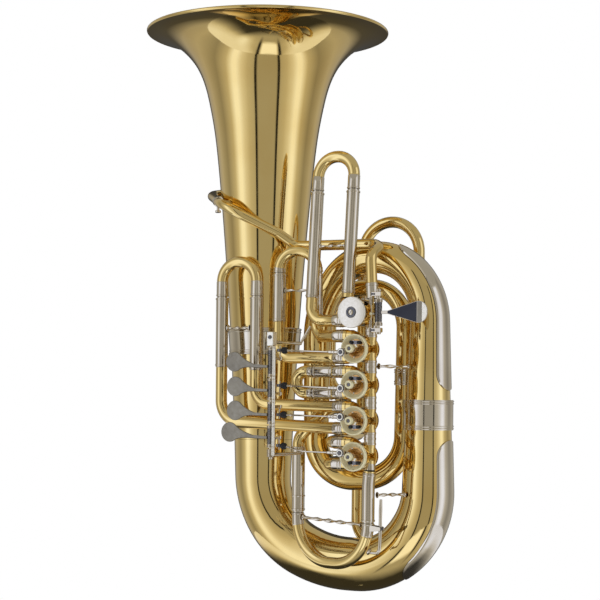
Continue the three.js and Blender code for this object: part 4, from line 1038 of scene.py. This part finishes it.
def make_links():
    """Short couplings between neighbouring valves."""
    spans = [(VALVE_Z[k + 1], VALVE_Z[k], f"valve_link_{k + 1}") for k in range(3)]
    for below, above, node in spans + [(VALVE_Z[0], FIFTH_Z, "valve_link_5")]:
        height = above - below - 2 * LINK_REACH + 6
        ends = ((0, BORE_R - 0.2), (0.4, BORE_R + 0.4), (3, BORE_R + 0.4), (3.4, BORE_R - 0.1),
                (height / 2 - 1.4, BORE_R - 0.1), (height / 2 - 1, BORE_R + 0.5))
        piece = Piece(node + "_tube", NICKEL)
        profile = [*ends, *[(height - s, r) for s, r in ends[::-1]]]
        piece.lathe((*LINK, below + LINK_REACH - 3), UP, profile, None, 44)
        piece.finish(ROOT, node, sharp=25)


# ---------- water key and braces ----------
# the lever from its tip to the pad: (x from KEY_X, z, radius)
KEY_LEVER = ((0.6, KEY_TOP, 2.0), (0.2, 136, 2.6), (0, 120, 2.3), (0, 104, 2.8), (-0.2, 94, 2.6),
             (-0.6, 84, 2.7), (-1.4, 76, 2.9), (-4.6, KEY_LOW - 0.6, 2.8), (-10, KEY_LOW - 1, 2.3),
             (-16.6, KEY_LOW - 1, 1.8))
KEY_PAD_AWAY = Vector((-3.8, 0, 2.4))
# name: start, end, radius, turns, feet
STAYS = {
    "brace_third_slide": ((-174.6, -80, 412), (-132.9, -80, 412), 2.2, 1.5, 5),
    "brace_first_slide": ((-77.6, -66.2, 470), (-37.6, -58.8, 470), 2.2, 1, 4.4),
    "brace_main_slide": ((-46.6, -56.4, 117), (67.2, -77.8, 112), 2.6, 2.5, 4.6),
    "brace_valve_upper": ((92.2, -76, 352), (119, -27.5, 352), 2.3, 1, 4.6),
    "brace_valve_lower": ((90.6, -74, 158), (118, -35.5, 158), 2.3, 1.5, 4.6),
}


def make_water_key():
    main_x, y = MAIN_RIGHT
    piece = Piece("water_key_lever", NICKEL)
    path = [Vector((KEY_X + x, y, z)) for x, z, _ in KEY_LEVER]
    piece.wire(path, [radius for _, _, radius in KEY_LEVER], None, 16)
    piece.rod((KEY_X, y - 5, KEY_HINGE), (KEY_X, y + 5, KEY_HINGE), 2.8)
    piece.coil((KEY_X, y - 4.6, KEY_HINGE), (KEY_X, y + 4.6, KEY_HINGE), 3.3, 0.45, 7)
    pad = path[-1]
    piece.lathe(pad, KEY_PAD_AWAY, [(0, 2), (0.6, 4.2), (1.2, 5), (2.8, 5), (3.0, 4.4)], None, 32)
    piece.lathe(pad + KEY_PAD_AWAY * 0.66, KEY_PAD_AWAY, [(0, 4.2), (1.2, 4.2), (1.5, 3.6)], CORK, 28)
    piece.finish("water_key_body", "water_key")

    piece = Piece("water_key_saddle", NICKEL)
    cheek = [(main_x + 6, KEY_HINGE - 5), (KEY_X + 3, KEY_HINGE - 2.6), (KEY_X + 3, KEY_HINGE + 2.6),
             (main_x + 6, KEY_HINGE + 5)]
    for side in (-6.8, 5.6):
        piece.plate(cheek, 1.2, lambda u, v, w: (u, y + side + w, v), None, 0.3)
    piece.finish("main_slide_body")


def make_braces():
    for name, (start, end, radius, turns, feet) in STAYS.items():
        piece = Piece(name + "_stay", NICKEL)
        piece.twisted(start, end, radius, turns, feet)
        piece.finish("main_slide_body" if name == "brace_main_slide" else ROOT, name)


make_bell()
make_bows()
make_guard("guard_upper", TOP_BOW, 0.06, 0.42, TOP_RADII)
make_guard("guard_lower", BOTTOM_BOW, 0.61, 0.94, BOTTOM_RADII)
make_leadpipe()
make_casings()
for valve in range(4):
    make_rotor(valve)
make_fifth_rotor()
make_bumpers()
for valve in range(4):
    make_rod(valve)
for valve in range(4):
    make_paddle(valve)
make_rail()
make_thumb()
make_valve_slides()
make_fifth_slide()
make_main_slide()
make_fifth_stay()
make_links()
make_water_key()
make_braces()

# ---------- studio ----------
VIEW_AZ = radians(30)
CAMERA_RIGHT = Vector((cos(VIEW_AZ), sin(VIEW_AZ), 0))
CAMERA_AHEAD = Vector((-sin(VIEW_AZ), cos(VIEW_AZ), 0))
CAMERA_SIDE, CAMERA_BACK, CAMERA_HEIGHT = -76, -2598, 315
FOCAL_SHARE = 2.753           # focal length over frame width
ROLL = radians(0.6)
SENSOR = 36
WORLD_COLOUR, WORLD_STRENGTH, BACKDROP_R = (1, 0.99, 0.96, 1), 0.45, 14
# the room, in metres: brightness round the wall by degrees from the front
WALL_R, WALL_LOW, WALL_HIGH, FLOOR_Z = 4.2, -14, 3.6, -0.35
WALL_GLOW = ((0, 0.42), (19, 0.42), (20.5, 0.02), (24, 0.02), (25.5, 0.5), (38, 0.6), (50, 0.85), (60, 1.2),
             (67, 1.2), (80, 0.6), (102, 0.32), (130, 0.5), (148, 0.42), (160, 0.08), (180, 0.05))
FLOOR_GLOW, PATCH_GLOW, SHADE_GLOW = 0.45, 1.25, 0.04


def emitter(name, stored=False):
    """White glow, or a glow in the colour stored at each point."""
    material = bpy.data.materials.new(name)
    material.use_nodes = True
    nodes, links = material.node_tree.nodes, material.node_tree.links
    nodes.clear()
    glow = nodes.new("ShaderNodeEmission")
    glow.inputs["Color"].default_value = (1, 1, 1, 1)
    glow.inputs["Strength"].default_value = 1
    links.new(glow.outputs["Emission"], nodes.new("ShaderNodeOutputMaterial").inputs["Surface"])
    if stored:
        colour = nodes.new("ShaderNodeAttribute")
        colour.attribute_name = "glow"
        links.new(colour.outputs["Color"], glow.inputs["Color"])
    return material


def stage_object(name, data, material, seen_by_camera):
    """Part of the studio, seen either by the camera alone or in reflections alone."""
    data.materials.append(material)
    made = bpy.data.objects.new(name, data)
    bpy.context.scene.collection.objects.link(made)
    made.visible_camera = seen_by_camera
    made.visible_glossy = not seen_by_camera
    made.visible_diffuse = not seen_by_camera
    made.visible_shadow = False


def make_backdrop():
    mesh = bmesh.new()
    bmesh.ops.create_uvsphere(mesh, u_segments=32, v_segments=16, radius=BACKDROP_R)
    data = bpy.data.meshes.new("white_surround")
    mesh.to_mesh(data)
    mesh.free()
    stage_object("white_surround", data, emitter("backdrop"), True)


def painted(name, rings, glow_at):
    """Surface through rings of points in metres whose brightness is worked out at every point."""
    count = len(rings[0])
    points = [point for ring in rings for point in ring]
    faces = []
    for base in range(0, count * (len(rings) - 1), count):
        for n in range(count):
            m = (n + 1) % count
            faces.append((base + n, base + m, base + count + m, base + count + n))
    data = bpy.data.meshes.new(name)
    data.from_pydata(points, [], faces)
    glow = data.color_attributes.new("glow", "FLOAT_COLOR", "POINT")
    for n, point in enumerate(points):
        glow.data[n].color = (*glow_at(Vector(point)), 1)
    stage_object(name, data, emitter(name, stored=True), False)


def tinted(level):
    """Colour of a brightness: warm where it is dim, cool where it is bright."""
    cool = between(level, ((0.6, 0), (1.1, 1)))
    return level * (1 - 0.07 * cool), level * (0.985 + 0.025 * cool), level * (0.96 + 0.32 * cool)


def level_round(point):
    turn = atan2(point.dot(CAMERA_RIGHT), -point.dot(CAMERA_AHEAD))
    return between(abs(degrees(turn)), WALL_GLOW)


def floor_glow(point):
    """Grey under the object, bright at the sides, with a bright patch and a dark shade in front."""
    front, side = -point.dot(CAMERA_AHEAD), abs(point.dot(CAMERA_RIGHT))
    far = between(hypot(front, side), ((0.35, 0), (0.6, 1)))
    level = FLOOR_GLOW * (1 - far) + level_round(point) * far
    level += (1 - level) * between(side, ((0.45, 0), (0.8, 1)))
    patch = between(front, ((0.5, 0), (0.56, 1), (1.0, 1), (1.06, 0)))
    patch *= between(side / max(front, 0.1), ((0.3, 1), (0.34, 0)))
    level += (PATCH_GLOW - level) * patch
    shade = between(front, ((0.12, 1), (0.34, 0))) * between(side, ((0.4, 1), (0.65, 0)))
    return tinted(level * (1 - shade) + SHADE_GLOW * shade)


def make_room():
    """Round studio wall, brightest at both sides in front, and the floor, both seen only in reflections."""
    turns = [radians(n * 1.5) for n in range(240)]
    wall = [[(WALL_R * cos(t), WALL_R * sin(t), z) for t in turns] for z in (WALL_LOW, WALL_HIGH)]
    painted("studio_wall", wall, lambda point: tinted(level_round(point)))
    spans = [0.01] + [0.06 * n for n in range(1, 19)]
    floor = [[(r * cos(t), r * sin(t), FLOOR_Z) for t in turns[::2]] for r in spans]
    painted("studio_floor", floor, floor_glow)


def make_camera():
    camera = bpy.data.cameras.new("camera")
    camera.sensor_width = SENSOR
    camera.lens = SENSOR * FOCAL_SHARE
    camera.shift_y = 0.15
    camera.clip_end = 100
    holder = bpy.data.objects.new("camera", camera)
    spot = CAMERA_RIGHT * CAMERA_SIDE + CAMERA_AHEAD * CAMERA_BACK + Vector((0, 0, CAMERA_HEIGHT))
    holder.location = place(spot)
    look = Matrix((CAMERA_RIGHT, Vector(UP), -CAMERA_AHEAD)).transposed()
    holder.rotation_euler = (look @ Matrix.Rotation(ROLL, 3, "Z")).to_euler()
    bpy.context.scene.collection.objects.link(holder)
    bpy.context.scene.camera = holder


world = bpy.data.worlds.new("studio")
world.use_nodes = True
world.node_tree.nodes["Background"].inputs["Color"].default_value = WORLD_COLOUR
world.node_tree.nodes["Background"].inputs["Strength"].default_value = WORLD_STRENGTH
bpy.context.scene.world = world
bpy.context.scene.view_settings.view_transform = "Standard"
make_backdrop()
make_room()
make_camera()
